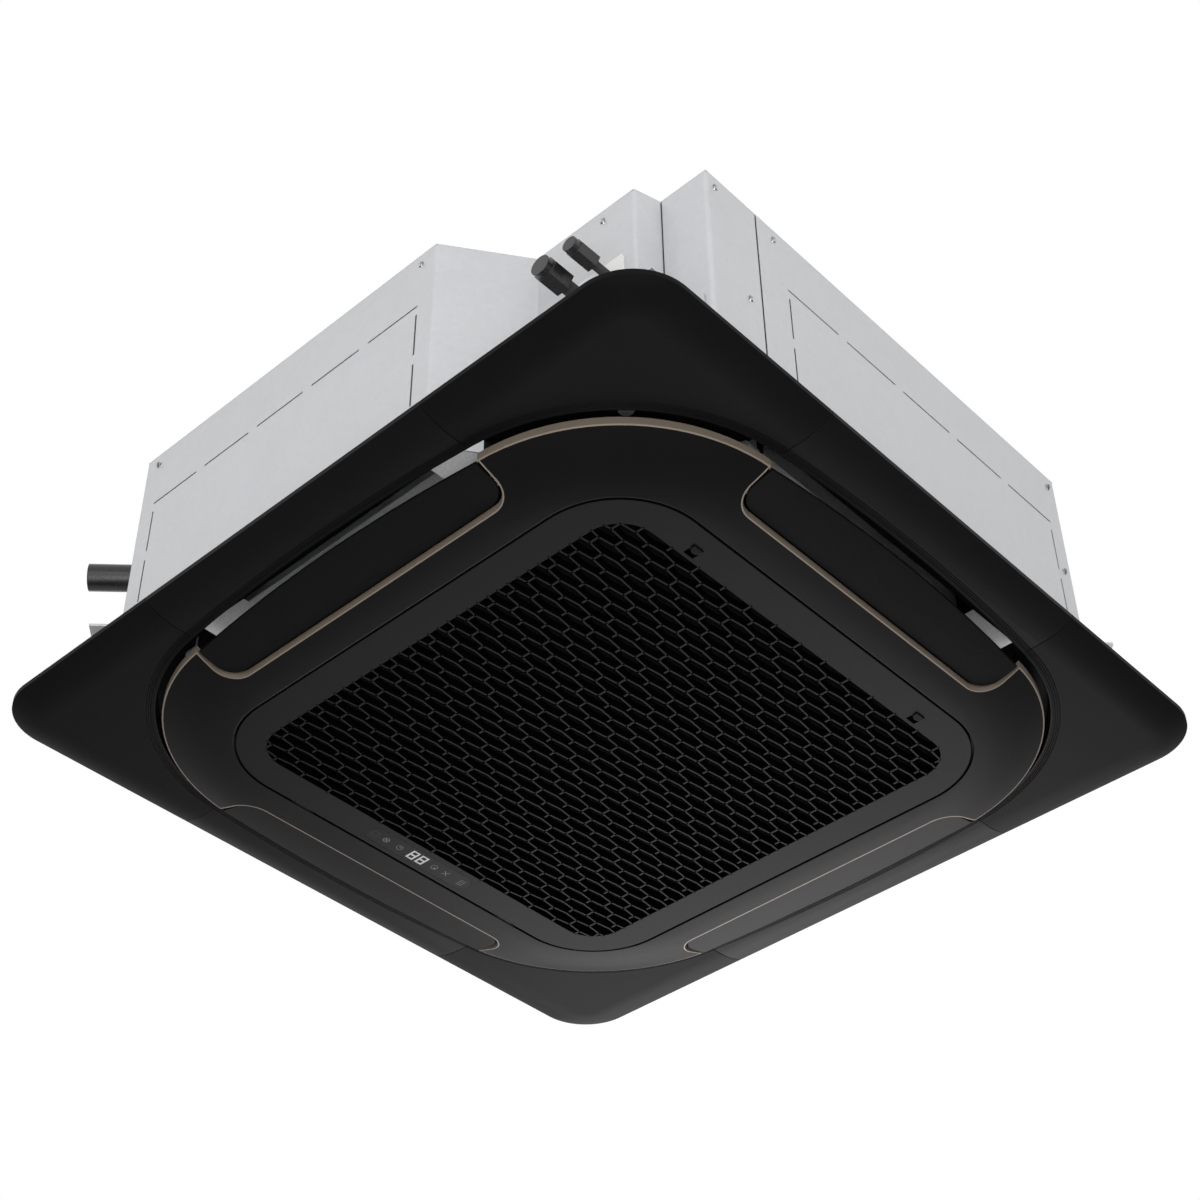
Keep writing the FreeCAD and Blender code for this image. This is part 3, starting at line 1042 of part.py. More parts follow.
gas_edge, liquid_edge = "(gas_pipe_radius + grommet_margin)", "(liquid_pipe_radius + grommet_margin)"
grommet = box("grommet_stock", (f"header_x_gas - {gas_edge}", f"header_x_liquid + {liquid_edge}"),
              (f"{notch_y} - grommet_thickness", notch_y),
              (f"gas_level - {gas_edge}", f"liquid_level + {liquid_edge}"))
gas_seat = rod("gas_seat", "gas_pipe_radius", gas_spot, "2 * pipe_reach", TO_Y)
liquid_seat = rod("liquid_seat", "liquid_pipe_radius", liquid_spot, "2 * pipe_reach", TO_Y)
node("pipe_grommet", less("pipe_grommet_solid", grommet, gas_seat, liquid_seat))

# Fan: motor hung from the top plate, shaft, impeller and its nut
motor_high = f"({UNDER_TOP} - motor_plate - mount_bush_height)"
motor_low = f"({motor_high} - motor_height)"
motor_body = rod("motor_body", "motor_radius", ("0", "0", motor_low), "motor_height")
shaft_top = f"({motor_low} + shaft_engagement)"
motor_bore = rod("motor_bore", "shaft_radius + running_clearance", ("0", "0", motor_low), "shaft_engagement")
node("fan_motor", less("fan_motor_solid", motor_body, motor_bore))
motor_plate_low = f"{UNDER_TOP} - motor_plate"
node("motor_plate", rod("motor_plate_solid", "motor_plate_radius", ("0", "0", motor_plate_low), "motor_plate"))
bushes = []
for number, (sx, sy) in enumerate(((1, 0), (0, 1), (-1, 0), (0, -1))):
    bushes.append(rod(f"mount_bush_{number}", "mount_bush_radius", (
        f"{sx} * mount_bush_circle", f"{sy} * mount_bush_circle", motor_high), "mount_bush_height"))
node("motor_mounts", grouped("mount_bush_set", *bushes))
hub_top = f"({motor_low} - hub_gap)"
hub_low = f"({hub_top} - hub_wall)"
impeller = doc.addObject("PartDesign::Body", "impeller")
disc_high = f"({hub_top} + hub_cone)"
revolve(impeller, "impeller_hub", [
    ("shaft_radius", hub_low), ("hub_radius", hub_low), ("hub_radius + hub_cone", f"{disc_high} - hub_wall"),
    ("fan_radius", f"{disc_high} - hub_wall"), ("fan_radius", disc_high),
    ("hub_radius + hub_cone - hub_wall", disc_high), ("hub_radius - hub_wall", hub_top),
    ("shaft_radius", hub_top)])
fan_low = f"({bell_top} + fan_bell_gap)"
shroud_high = f"({fan_low} + shroud_rise)"
blade_edge = plane_sketch(impeller, "blade_edge", "XY_Plane", shroud_high)
blade_tip, blade_sweep = "fan_radius - blade_thickness", "fan_radius * blade_sweep_share"
outline(blade_edge, [
    ("blade_inner_radius", "-blade_thickness/2"), (blade_tip, f"{blade_sweep} - blade_thickness/2"),
    (blade_tip, f"{blade_sweep} + blade_thickness/2"), ("blade_inner_radius", "blade_thickness/2")],
    {0: ("blade_bow_radius", 1), 2: ("blade_bow_radius + blade_thickness", -1)})
blade = pad(impeller, "blade", blade_edge, f"{disc_high} - hub_wall - {shroud_high}")
doc.recompute()
blades = impeller.newObject("PartDesign::PolarPattern", "blades")
blades.Originals = [blade]
blades.Axis = ([item for item in impeller.Origin.OriginFeatures if item.Role == "Z_Axis"][0], [""])
blades.Angle = 360
blades.Occurrences = int(value("blade_count"))
impeller.Tip = blades
revolve(impeller, "shroud", [
    ("fan_eye_radius", fan_low), ("fan_eye_radius + hub_wall", fan_low), ("fan_radius", shroud_high),
    ("fan_radius", f"{shroud_high} + hub_wall"),
    ("blade_inner_radius + hub_wall", f"{shroud_high} + hub_wall"),
    ("blade_inner_radius + hub_wall", shroud_high), ("fan_eye_radius", shroud_high)])
node("fan_impeller", impeller)
nut_low = f"({hub_low} - nut_height)"
node("motor_shaft", rod("motor_shaft_solid", "shaft_radius", ("0", "0", nut_low),
                        f"{shaft_top} - running_clearance - {nut_low}"))
nut = doc.addObject("Part::Prism", "nut_hex")
nut.Polygon = 6
tie(nut, Circumradius="nut_radius", Height="nut_height")
place(nut, z=nut_low)
nut_bore = rod("nut_bore", "shaft_radius", ("0", "0", nut_low), "nut_height")
node("hub_nut", less("hub_nut_solid", nut, nut_bore))

# Drain pump, its hose, the drain outlet, and the float switch
pump_low = rod("pump_low", "pump_radius", ("-pump_corner", "-pump_corner", PAN_TOP), "pump_body_height")
pump_high = rod("pump_high", "pump_motor_radius", ("-pump_corner", "-pump_corner", PAN_TOP),
                f"{drain_z} + hose_radius + pump_top_rise - {PAN_TOP}")
node("drain_pump", joined("drain_pump_solid", pump_low, pump_high))
hose_end = f"({wall_reach} - sheet_metal - liner_thickness)"
hose_run = f"{hose_end} - {pump_reach}"
hose_tube = rod("hose_tube", "hose_radius", along_drain(pump_reach), hose_run, drain_turn)
hose_bore = rod("hose_bore", "hose_radius - hose_wall", along_drain(pump_reach), hose_run, drain_turn)
node("drain_hose", less("drain_hose_solid", hose_tube, hose_bore, pump_high))
outlet_end = f"({wall_reach} + outlet_reach)"
outlet_run = f"{outlet_end} - {hose_end}"
outlet_tube = rod("outlet_tube", "outlet_radius", along_drain(hose_end), outlet_run, drain_turn)
outlet_collar = rod("outlet_collar", "outlet_flange_radius", along_drain(wall_reach), "outlet_flange",
                    drain_turn)
outlet_bore = rod("outlet_bore", "outlet_radius - outlet_wall", along_drain(f"{hose_end} + outlet_wall"),
                  outlet_run, drain_turn)
outlet_seat = rod("outlet_seat", "hose_radius - hose_wall", along_drain(hose_end), "2 * outlet_wall",
                  drain_turn)
outlet_stock = joined("outlet_stock", outlet_tube, outlet_collar)
node("drain_outlet", less("drain_outlet_solid", outlet_stock, outlet_bore, outlet_seat))
stem_x, stem_y = "-float_corner", "float_corner"
stem_top = f"({PAN_TOP} + stem_foot + float_height + float_travel + float_gap)"
foot = rod("stem_foot_disc", "stem_foot_radius", (stem_x, stem_y, PAN_TOP), "stem_foot")
stem = rod("stem_rod", "stem_radius", (stem_x, stem_y, PAN_TOP), f"{stem_top} - {PAN_TOP}")
stem_head = rod("stem_head", "stem_cap_radius", (stem_x, stem_y, stem_top), "stem_cap")
node("float_stem", joined("float_stem_solid", foot, stem, stem_head))
float_low = f"{PAN_TOP} + stem_foot + float_seat"
float_disc = rod("float_disc", "float_radius", (stem_x, stem_y, float_low), "float_height")
node("drain_float", less("drain_float_solid", float_disc, rod(
    "float_bore", "stem_radius + float_seat", (stem_x, stem_y, float_low), "float_height")))

# Between panel and casing: foam seals round the slots, corner brackets and bolts
seals = []
for side, angle in SIDES.items():
    outer = box(f"seal_block_{side}", ("-recess_half_length - seal_wall", "recess_half_length + seal_wall"),
                ("-slot_outer_half", "-slot_inner_half + seal_wall/2"), (DECK_TOP, BASE))
    inner = box(f"seal_void_{side}", ("-recess_half_length", "recess_half_length"),
                ("-slot_outer_half - overrun", "-slot_inner_half"),
                (f"{DECK_TOP} - overrun", f"{BASE} + overrun"))
    seals.append(turned(f"seal_{side}", less(f"seal_stock_{side}", outer, inner), angle))
node("outlet_seals", grouped("seal_set", *seals))
brackets = []
bolts = []
for number, (sx, sy) in enumerate(((1, 1), (-1, 1), (-1, -1), (1, -1))):
    x, y = f"{sx} * bracket_corner", f"{sy} * bracket_corner"
    xs, ys = (f"{x} - bracket_half", f"{x} + bracket_half"), (f"{y} - bracket_half", f"{y} + bracket_half")
    lower = box(f"bracket_low_{number}", xs, ys, (DECK_TOP, f"{DECK_TOP} + bracket_sheet"))
    upper = box(f"bracket_high_{number}", xs, ys, (f"{BASE} - bracket_sheet", BASE))
    web = box(f"bracket_web_{number}", (xs[0], f"{xs[0]} + bracket_sheet"), ys, (DECK_TOP, BASE))
    bracket = joined(f"bracket_stock_{number}", lower, upper, web)
    brackets.append(less(f"bracket_{number}", bracket, bolt_bores[number]))
    bolt_low = "(deck_level - bolt_head_height)"
    head = rod(f"bolt_head_{number}", "bolt_head_radius", (x, y, bolt_low), "bolt_head_height")
    bolt_shank = rod(f"bolt_shank_{number}", "bolt_radius", (x, y, bolt_low),
                     f"{BASE} - bracket_sheet - {bolt_low}")
    bolts.append(joined(f"bolt_{number}", head, bolt_shank))
node("panel_brackets", grouped("bracket_set", *brackets))
node("panel_bolts", grouped("bolt_set", *bolts))

# Checks and files
doc.recompute()
for item in doc.Objects:
    if "Invalid" in item.State or "Error" in item.State:
        raise SystemExit(f"{item.Name} failed: {item.State}")
os.makedirs("parts", exist_ok=True)
for item in NODES:
    if item.Shape.isNull() or not item.Shape.isValid() or not item.Shape.Solids:
        raise SystemExit(f"{item.Label} has no valid solid")
for item in NODES:
    item.Shape.exportStep(f"parts/{item.Label}.step")
print(len(NODES), "sub-parts written")
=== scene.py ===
"""Ceiling cassette air conditioner, seen from below: steel casing, satin black panel, honeycomb grille."""
import math

import bpy
import numpy as np
from mathutils import Matrix, Vector


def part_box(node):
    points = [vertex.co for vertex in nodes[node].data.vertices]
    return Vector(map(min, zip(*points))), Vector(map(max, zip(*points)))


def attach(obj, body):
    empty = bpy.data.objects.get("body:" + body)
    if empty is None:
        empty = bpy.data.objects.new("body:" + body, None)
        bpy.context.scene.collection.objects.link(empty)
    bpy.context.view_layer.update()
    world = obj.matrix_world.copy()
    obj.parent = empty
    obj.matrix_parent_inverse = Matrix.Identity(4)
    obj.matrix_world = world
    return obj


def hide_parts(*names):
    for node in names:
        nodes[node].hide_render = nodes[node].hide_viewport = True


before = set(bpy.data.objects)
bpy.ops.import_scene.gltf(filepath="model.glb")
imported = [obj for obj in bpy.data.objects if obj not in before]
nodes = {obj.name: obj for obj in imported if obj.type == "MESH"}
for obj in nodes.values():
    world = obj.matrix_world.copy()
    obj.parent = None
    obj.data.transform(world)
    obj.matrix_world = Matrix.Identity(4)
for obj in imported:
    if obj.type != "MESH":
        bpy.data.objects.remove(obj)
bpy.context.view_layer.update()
MM = 0.001

# Camera. The unit hangs in the air over a pale floor and is seen from below at its pipe corner.
# The camera is turned by azimuth, elevation and roll, then moved back and aside to the photograph's framing.
VIEW_AZIMUTH, VIEW_ELEVATION, VIEW_ROLL = math.radians(42.17), math.radians(-41.08), math.radians(-0.77)
VIEW_DISTANCE, VIEW_SHIFT_RIGHT, VIEW_SHIFT_UP = 2405 * MM, -5.4 * MM, 132.5 * MM
FOCAL_PIXELS, PHOTO_PIXELS, SENSOR, FAR_CLIP = 2186, 1200, 36, 50
back = Vector((math.sin(VIEW_AZIMUTH) * math.cos(VIEW_ELEVATION),
               -math.cos(VIEW_AZIMUTH) * math.cos(VIEW_ELEVATION), math.sin(VIEW_ELEVATION)))
level_right = (-back).cross(Vector((0, 0, 1))).normalized()
level_up = level_right.cross(-back)
right = level_right * math.cos(VIEW_ROLL) + level_up * math.sin(VIEW_ROLL)
up = level_up * math.cos(VIEW_ROLL) - level_right * math.sin(VIEW_ROLL)
camera_data = bpy.data.cameras.new("photo_camera")
camera_data.sensor_width = SENSOR
camera_data.lens = FOCAL_PIXELS / PHOTO_PIXELS * SENSOR
camera_data.clip_end = FAR_CLIP
camera = bpy.data.objects.new("photo_camera", camera_data)
bpy.context.collection.objects.link(camera)
turn = Matrix((right, up, back)).transposed().to_4x4()
place = back * VIEW_DISTANCE + right * VIEW_SHIFT_RIGHT + up * VIEW_SHIFT_UP
camera.matrix_world = Matrix.Translation(place) @ turn
bpy.context.scene.camera = camera
bpy.context.scene.view_settings.view_transform = "Standard"

# Room. White to the camera and in reflections, so that the background is white and the metal shows it.
# As light on the object the room is dimmer, and the lamps do the rest.
ROOM_LIGHT, ROOM_SEEN, WHITE = 0.55, 1.0, (1, 1, 1, 1)


class Value:
    """A shader socket that takes part in sums: each operator adds one Math node."""

    def __init__(self, tree, socket):
        self.tree = tree
        self.socket = socket

    def math(self, operation, first, second):
        return self.tree.node("ShaderNodeMath", {"operation": operation}, {0: first, 1: second})

    def __add__(self, other):
        return self.math("ADD", self, other)

    __radd__ = __add__

    def __mul__(self, other):
        return self.math("MULTIPLY", self, other)

    __rmul__ = __mul__

    def __sub__(self, other):
        return self.math("SUBTRACT", self, other)

    def __rsub__(self, other):
        return self.math("SUBTRACT", other, self)

    def __truediv__(self, other):
        return self.math("DIVIDE", self, other)

    def __mod__(self, other):
        return self.math("FLOORED_MODULO", self, other)

    def __lt__(self, other):
        return self.math("LESS_THAN", self, other)

    def __gt__(self, other):
        return self.math("GREATER_THAN", self, other)

    def __abs__(self):
        return self.math("ABSOLUTE", self, 0)


class Tree:
    """A node tree that is written as calls: one call for each node."""

    def __init__(self, node_tree):
        self.nodes = node_tree.nodes
        self.links = node_tree.links
        self.nodes.clear()

    def node(self, kind, settings=None, sockets=None, output=0):
        """One new node of a type, with its settings and sockets; what comes back is the output wanted."""
        made = self.nodes.new(kind)
        for name, setting in (settings or {}).items():
            setattr(made, name, setting)
        for name, given in (sockets or {}).items():
            if isinstance(given, Value):
                self.links.new(given.socket, made.inputs[name])
            else:
                made.inputs[name].default_value = given
        return Value(self, made.outputs[output] if made.outputs else None)

    def finish(self, kind, shader):
        """The output node that a shader ends in."""
        self.node(kind, sockets={"Surface": shader})


world = bpy.data.worlds.new("white_room")
world.use_nodes = True
bpy.context.scene.world = world
room = Tree(world.node_tree)
ray = {name: room.node("ShaderNodeLightPath", output=name)
       for name in ("Is Camera Ray", "Is Glossy Ray", "Is Transmission Ray")}
seen = ray["Is Camera Ray"] + ray["Is Glossy Ray"] + ray["Is Transmission Ray"]
room_light = room.node("ShaderNodeBackground", sockets={"Color": WHITE, "Strength": ROOM_LIGHT})
room_seen = room.node("ShaderNodeBackground", sockets={"Color": WHITE, "Strength": ROOM_SEEN})
room_mix = room.node("ShaderNodeMixShader", sockets={0: seen, 1: room_light, 2: room_seen})
room.finish("ShaderNodeOutputWorld", room_mix)

# Floor. A pale matt sheet far below the unit, as a studio floor under a hung object.
FLOOR_LEVEL, FLOOR_HALF, FLOOR_COLOUR, FLOOR_ROUGHNESS = -2.4, 12.0, (0.82, 0.82, 0.82, 1), 0.9
floor_mesh = bpy.data.meshes.new("studio_floor")
floor_mesh.from_pydata([(sx * FLOOR_HALF, sy * FLOOR_HALF, FLOOR_LEVEL)
                        for sx, sy in ((-1, -1), (1, -1), (1, 1), (-1, 1))], [], [(0, 1, 2, 3)])
floor = bpy.data.objects.new("studio_floor", floor_mesh)
bpy.context.collection.objects.link(floor)
floor_paint = bpy.data.materials.new("studio_floor")
floor_paint.use_nodes = True
floor_tree = Tree(floor_paint.node_tree)
floor_tree.finish("ShaderNodeOutputMaterial", floor_tree.node(
    "ShaderNodeBsdfPrincipled", sockets={"Base Color": FLOOR_COLOUR, "Roughness": FLOOR_ROUGHNESS}))
floor_mesh.materials.append(floor_paint)

# Lamps. Five soft square panels. Two light the casing's sides, and one from behind and below gives the far
# half of the panel its sheen. One stands behind the camera and one before the pipe corner, as fill.
PANEL_MIDDLE, CASING_MIDDLE = (0, 0, 0), (0, 0, 0.1)


def soft_lamp(name, spot, aim, side, power):
    """A square lamp at a spot, turned to face another point."""
    lamp_data = bpy.data.lights.new(name, "AREA")
    lamp_data.size = side
    lamp_data.energy = power
    lamp = bpy.data.objects.new(name, lamp_data)
    bpy.context.collection.objects.link(lamp)
    lamp.location = spot
    lamp.rotation_euler = (Vector(aim) - Vector(spot)).to_track_quat("-Z", "Y").to_euler()


soft_lamp("left_panel", spot=(-1.6, -3.4, 0.9), aim=CASING_MIDDLE, side=2.2, power=10)
soft_lamp("right_panel", spot=(3.6, 0.6, 0.8), aim=CASING_MIDDLE, side=2.0, power=7)
soft_lamp("low_panel", spot=(-2.25, 3.3, -1.9), aim=PANEL_MIDDLE, side=2.4, power=105)
soft_lamp("camera_panel", spot=(1.5, -1.7, -1.7), aim=PANEL_MIDDLE, side=1.6, power=60)
soft_lamp("front_panel", spot=(1.9, -2.1, -0.2), aim=CASING_MIDDLE, side=2.0, power=24)

# Casing. Sheets of hot-dip galvanised steel folded at the corners, with faint spangle and rolling marks.
# The sheets are screwed together, and broken slits mark where a branch duct can be knocked out.
STEEL_DARK, STEEL_PALE = (0.47, 0.475, 0.49), (0.55, 0.555, 0.57)
SPANGLE_SIZE, STEEL_CLOUD_SIZE, ROLLING_SIZE, ROLLING_STRETCH = 7 * MM, 60 * MM, 1.6 * MM, (1, 1, 0.12)
BEVEL_SAMPLES = 4


class Finish(Tree):
    """A material: sockets of its main shader are given as numbers or as shader sums."""

    def __init__(self, name):
        self.material = bpy.data.materials.new(name)
        self.material.use_nodes = True
        super().__init__(self.material.node_tree)
        self.point = self.node("ShaderNodeTexCoord", output="Object")

    def noise(self, size, detail=2.0, stretch=(1, 1, 1)):
        """Cloudy noise with spots of a real size in metres, longer along an axis with a share below one."""
        spread = self.node("ShaderNodeVectorMath", {"operation": "MULTIPLY"}, {0: self.point, 1: stretch})
        sockets = {"Vector": spread, "Scale": 1 / size, "Detail": detail}
        return self.node("ShaderNodeTexNoise", {}, sockets, "Fac")

    def between(self, share, low, high):
        """A colour between two, by a share."""
        return self.node("ShaderNodeMix", {"data_type": "RGBA"}, {0: share, 6: (*low, 1), 7: (*high, 1)}, 2)

    def cells(self, size):
        """One random grey for each cell of a crystal-like pattern with cells of a real size in metres."""
        colour = self.node("ShaderNodeTexVoronoi", {}, {"Vector": self.point, "Scale": 1 / size}, "Color")
        return self.node("ShaderNodeSeparateColor", {}, {0: colour})

    def axis(self, name):
        """One coordinate of the point on the surface, in metres."""
        return self.node("ShaderNodeSeparateXYZ", {}, {0: self.point}, name)

    def larger(self, first, second):
        """The larger of two values."""
        return self.node("ShaderNodeMath", {"operation": "MAXIMUM"}, {0: first, 1: second})

    def bump(self, height, depth, strength, edge=0):
        """A normal from a height map, its depth in metres; edges are rounded when a radius is given."""
        sockets = {"Height": height, "Distance": depth, "Strength": strength}
        if edge:
            sockets["Normal"] = self.node("ShaderNodeBevel", {"samples": BEVEL_SAMPLES}, {"Radius": edge})
        return self.node("ShaderNodeBump", {}, sockets)

    def shader(self, **sockets):
        """A main shader with its sockets, named with underscores for spaces."""
        named = {name.replace("_", " "): given for name, given in sockets.items()}
        return self.node("ShaderNodeBsdfPrincipled", sockets=named)

    def made_of(self, shader):
        """The material that ends in a shader."""
        self.finish("ShaderNodeOutputMaterial", shader)
        return self.material

    def done(self, **sockets):
        """The material with one main shader."""
        return self.made_of(self.shader(**sockets))

    def blended(self, share, first, second):
        """The material with a share of a second shader over the first."""
        return self.made_of(self.node("ShaderNodeMixShader", {}, {0: share, 1: first, 2: second}))


def dress(material, *names):
    """Give CAD nodes a material."""
    for name in names:
        nodes[name].data.materials.clear()
        nodes[name].data.materials.append(material)


galvanised = Finish("galvanised_steel")
spangle = galvanised.cells(SPANGLE_SIZE)
cloud = galvanised.noise(STEEL_CLOUD_SIZE)
rolling = galvanised.noise(ROLLING_SIZE, detail=3.0, stretch=ROLLING_STRETCH)
steel_share = spangle * 0.3 + cloud * 0.4 + rolling * 0.3
galvanised_steel = galvanised.done(
    Base_Color=galvanised.between(steel_share, STEEL_DARK, STEEL_PALE),
    Metallic=0.55,
    Roughness=0.40 + spangle * 0.06 + cloud * 0.08,
    Normal=galvanised.bump(rolling + spangle * 0.3, depth=0.12 * MM, strength=0.3, edge=1.2 * MM))
dress(galvanised_steel, "casing_front", "casing_notch", "casing_right", "casing_back", "casing_left",
      "casing_top", "hanger_brackets", "panel_brackets", "motor_plate", "control_box", "control_box_cover")

# Screws. Zinc plated pan heads with a cross recess, driven through the sheets into their folded edges.
# Each head is a turned dome: a ring's radius and its drop from the top follow a profile, as shares of the
# head's radius and rise, and the height falls by the recess's depth inside two crossed slots.
SCREW_RADIUS, SCREW_RISE, HEAD_STEPS = 5.5 * MM, 3.0 * MM, 72
CROSS_LONG, CROSS_WIDE, CROSS_DEEP = 3.2 * MM, 0.75 * MM, 1.5 * MM
HEAD_RINGS = (0.15, 0.3, 0.45, 0.58, 0.7, 0.8, 0.9, 0.97, 1.0, 1.0)
HEAD_DROPS = (0.01, 0.04, 0.09, 0.15, 0.22, 0.3, 0.42, 0.58, 0.75, 1.0)
MERGE_DIGITS, SHARP_ANGLE = 5, math.radians(40)


def grained(name, size, low, high, rough, span, depth, strength, detail=2.0, stretch=(1, 1, 1), edge=0,
            **same):
    """A material whose colour, roughness and bump follow one cloudy grain; the rest is the same all over."""
    finish = Finish(name)
    grain = finish.noise(size, detail, stretch)
    return finish.done(Base_Color=finish.between(grain, low, high), Roughness=rough + grain * span,
                       Normal=finish.bump(grain, depth, strength, edge), **same)


def node_mesh(name):
    """A copy of a CAD node's points, with doubles merged, and of its triangles."""
    mesh = nodes[name].data
    points = np.empty(len(mesh.vertices) * 3)
    mesh.vertices.foreach_get("co", points)
    points = points.reshape(-1, 3)
    loops = np.empty(len(mesh.loops), dtype=np.int64)
    mesh.loops.foreach_get("vertex_index", loops)
    rounded = np.round(points, MERGE_DIGITS)
    _, first, owner = np.unique(rounded, axis=0, return_index=True, return_inverse=True)
    return points[first], owner.reshape(-1)[loops].reshape(-1, 3)


def islands(name):
    """The points of each separate solid of a node: joined points share their lowest label, over and over."""
    points, triangles = node_mesh(name)
    label = np.arange(len(points))
    for _ in range(len(label)):
        lowest = label[triangles].min(axis=1)
        fresh = label.copy()
        np.minimum.at(fresh, triangles.reshape(-1), np.repeat(lowest, 3))
        fresh = fresh[fresh]
        if np.array_equal(fresh, label):
            break
        label = fresh
    return [points[label == one] for one in np.unique(label)]


def grid_faces(rows, columns, closed=False):
    """Quads of a grid of rows by columns; columns close on themselves, and so do rows when closed is set."""
    row, column = np.meshgrid(np.arange(rows if closed else rows - 1), np.arange(columns), indexing="ij")
    beside, below = (column + 1) % columns, (row + 1) % rows
    return np.stack([row * columns + column, row * columns + beside,
                     below * columns + beside, below * columns + column], axis=-1).reshape(-1, 4)


def joined(parts):
    """The points and faces of several parts as one mesh."""
    points, faces, total = [], [], 0
    for part_points, part_faces in parts:
        points.append(part_points)
        faces += [[int(corner) + total for corner in face] for face in part_faces]
        total += len(part_points)
    return np.vstack(points), faces


def make_piece(name, parts, material, body, replaced):
    """A mesh object at the origin that rides on a body and takes the place of a CAD node."""
    points, faces = joined(parts)
    mesh = bpy.data.meshes.new(name)
    mesh.from_pydata(points.tolist(), [], faces)
    mesh.validate()
    mesh.shade_smooth()
    mesh.set_sharp_from_angle(angle=SHARP_ANGLE)
    mesh.materials.append(material)
    piece = bpy.data.objects.new(name, mesh)
    bpy.context.collection.objects.link(piece)
    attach(piece, body)
    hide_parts(replaced)


zinc_plate = grained("zinc_plate", size=2 * MM, low=(0.26, 0.26, 0.27), high=(0.40, 0.40, 0.41),
                     rough=0.20, span=0.15, depth=0.1 * MM, strength=0.2, Metallic=1.0)
ring = SCREW_RADIUS * np.array(HEAD_RINGS)[:, None]
angle = np.linspace(0, 2 * np.pi, HEAD_STEPS, endpoint=False)[None, :]
head_x, head_y = ring * np.cos(angle), ring * np.sin(angle)
in_cross = ((np.abs(head_x) < CROSS_LONG) & (np.abs(head_y) < CROSS_WIDE)
            | (np.abs(head_y) < CROSS_LONG) & (np.abs(head_x) < CROSS_WIDE))
head_z = SCREW_RISE * (1 - np.array(HEAD_DROPS)[:, None]) - np.where(in_cross, CROSS_DEEP, 0)
head_middle = (0, 0, SCREW_RISE - CROSS_DEEP)
head = np.vstack([head_middle, np.stack([head_x, head_y, head_z], axis=-1).reshape(-1, 3)])
spoke = 1 + np.arange(HEAD_STEPS)
head_fan = np.column_stack([0 * spoke, spoke, np.roll(spoke, -1)])
head_side = 1 + grid_faces(len(HEAD_RINGS), HEAD_STEPS)[:, ::-1]
head_base = np.arange(len(head) - HEAD_STEPS, len(head))[::-1]
head_faces = [*head_fan, *head_side, head_base]
screw_heads = []
casing_low, casing_high = (np.array(corner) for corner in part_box("casing_top"))
for shank in islands("casing_screws"):
    low, high = shank.min(axis=0), shank.max(axis=0)
    across = int(np.argmin(np.abs(np.maximum(casing_high[:2] - high[:2], low[:2] - casing_low[:2]))))
    outward = 1 if high[across] + low[across] > 0 else -1
    axis_out = np.eye(3)[across] * outward
    axis_side = np.cross((0, 0, 1), axis_out)
    tip = high[across] if outward > 0 else low[across]
    seat = (low + high) / 2
    seat[across] = tip - outward * SCREW_RISE
    screw_heads.append((head @ np.stack([axis_side, (0, 0, 1), axis_out]) + seat, head_faces))
make_piece("cross_head_screws", screw_heads, zinc_plate, "unit", "casing_screws")

# Panel. The rim, the plate and the louvers are satin black mouldings with a fine grain.
# The corner covers clip on over the panel's bolts, so they are mouldings of their own and a shade more matt.
# The carrier, the latches, the filter's frame and the bell mouth are the same matt black.
SATIN_DARK, SATIN_PALE = (0.0023, 0.0022, 0.0023), (0.0031, 0.0030, 0.0031)
MATT_DARK, MATT_PALE = (0.0021, 0.0020, 0.0021), (0.0029, 0.0028, 0.0029)
BLACK_CLOUD_SIZE, SATIN_GRAIN, MATT_GRAIN = 40 * MM, 0.7 * MM, 0.9 * MM


def moulded_black(finish, grain_size, dark, pale, rough, specular, depth, edge):
    """The shader of a black moulding: slow clouds of colour, with a fine grain in its roughness and bump."""
    grain = finish.noise(grain_size, detail=3.0)
    return finish.shader(
        Base_Color=finish.between(finish.noise(BLACK_CLOUD_SIZE), dark, pale), Roughness=rough + grain * 0.1,
        Specular_IOR_Level=specular, Normal=finish.bump(grain, depth, strength=0.4, edge=edge))


satin = Finish("satin_black_panel")
satin_black = satin.made_of(moulded_black(satin, SATIN_GRAIN, SATIN_DARK, SATIN_PALE, rough=0.40,
                                          specular=0.062, depth=0.05 * MM, edge=1.4 * MM))
dress(satin_black, "panel_frame", "centre_plate", "louver_front", "louver_right", "louver_back",
      "louver_left")
matt = Finish("matt_black_cover")
matt_black = matt.made_of(moulded_black(matt, MATT_GRAIN, MATT_DARK, MATT_PALE, rough=0.46,
                                        specular=0.052, depth=0.08 * MM, edge=1.4 * MM))
dress(matt_black, "corner_cover_back_right", "corner_cover_back_left", "corner_cover_front_left",
      "corner_cover_front_right", "grille_latch_front", "grille_latch_back", "panel_carrier", "filter_frame",
      "bell_mouth")

# Grille. One satin black moulding: a flat border, hung on two hinge barrels, round a deep honeycomb.
# Long ribs wave from side to side, and short bars tie each rib to the next; half of the bars are spurs that
# end before the next rib. The faces that look down are satin; the walls of the cells are dull and darker,
# with painted shade standing in for the shade deep in the cells.
WALL_SHADE_DARK, WALL_SHADE_PALE, WALL_RISE = (0.0006, 0.0006, 0.0006), (0.0012, 0.0012, 0.0012), 0.25 * MM
RIM_HALF, RIM_RADIUS, RIM_WIDE, RIM_TOUCH = 274 * MM, 45.5 * MM, 2.5 * MM, 0.05 * MM
CELL_ACROSS, CELL_ALONG, COMB_DEEP, COMB_SHIFT = 14.1 * MM, 40 * MM, 10 * MM, 5.6 * MM
RIB_HALF, RIB_WAVE, BAR_HALF, SPUR_SHARE, RIM_BITE = 1.0 * MM, 1.2 * MM, 1.2 * MM, 0.6, 1.5 * MM
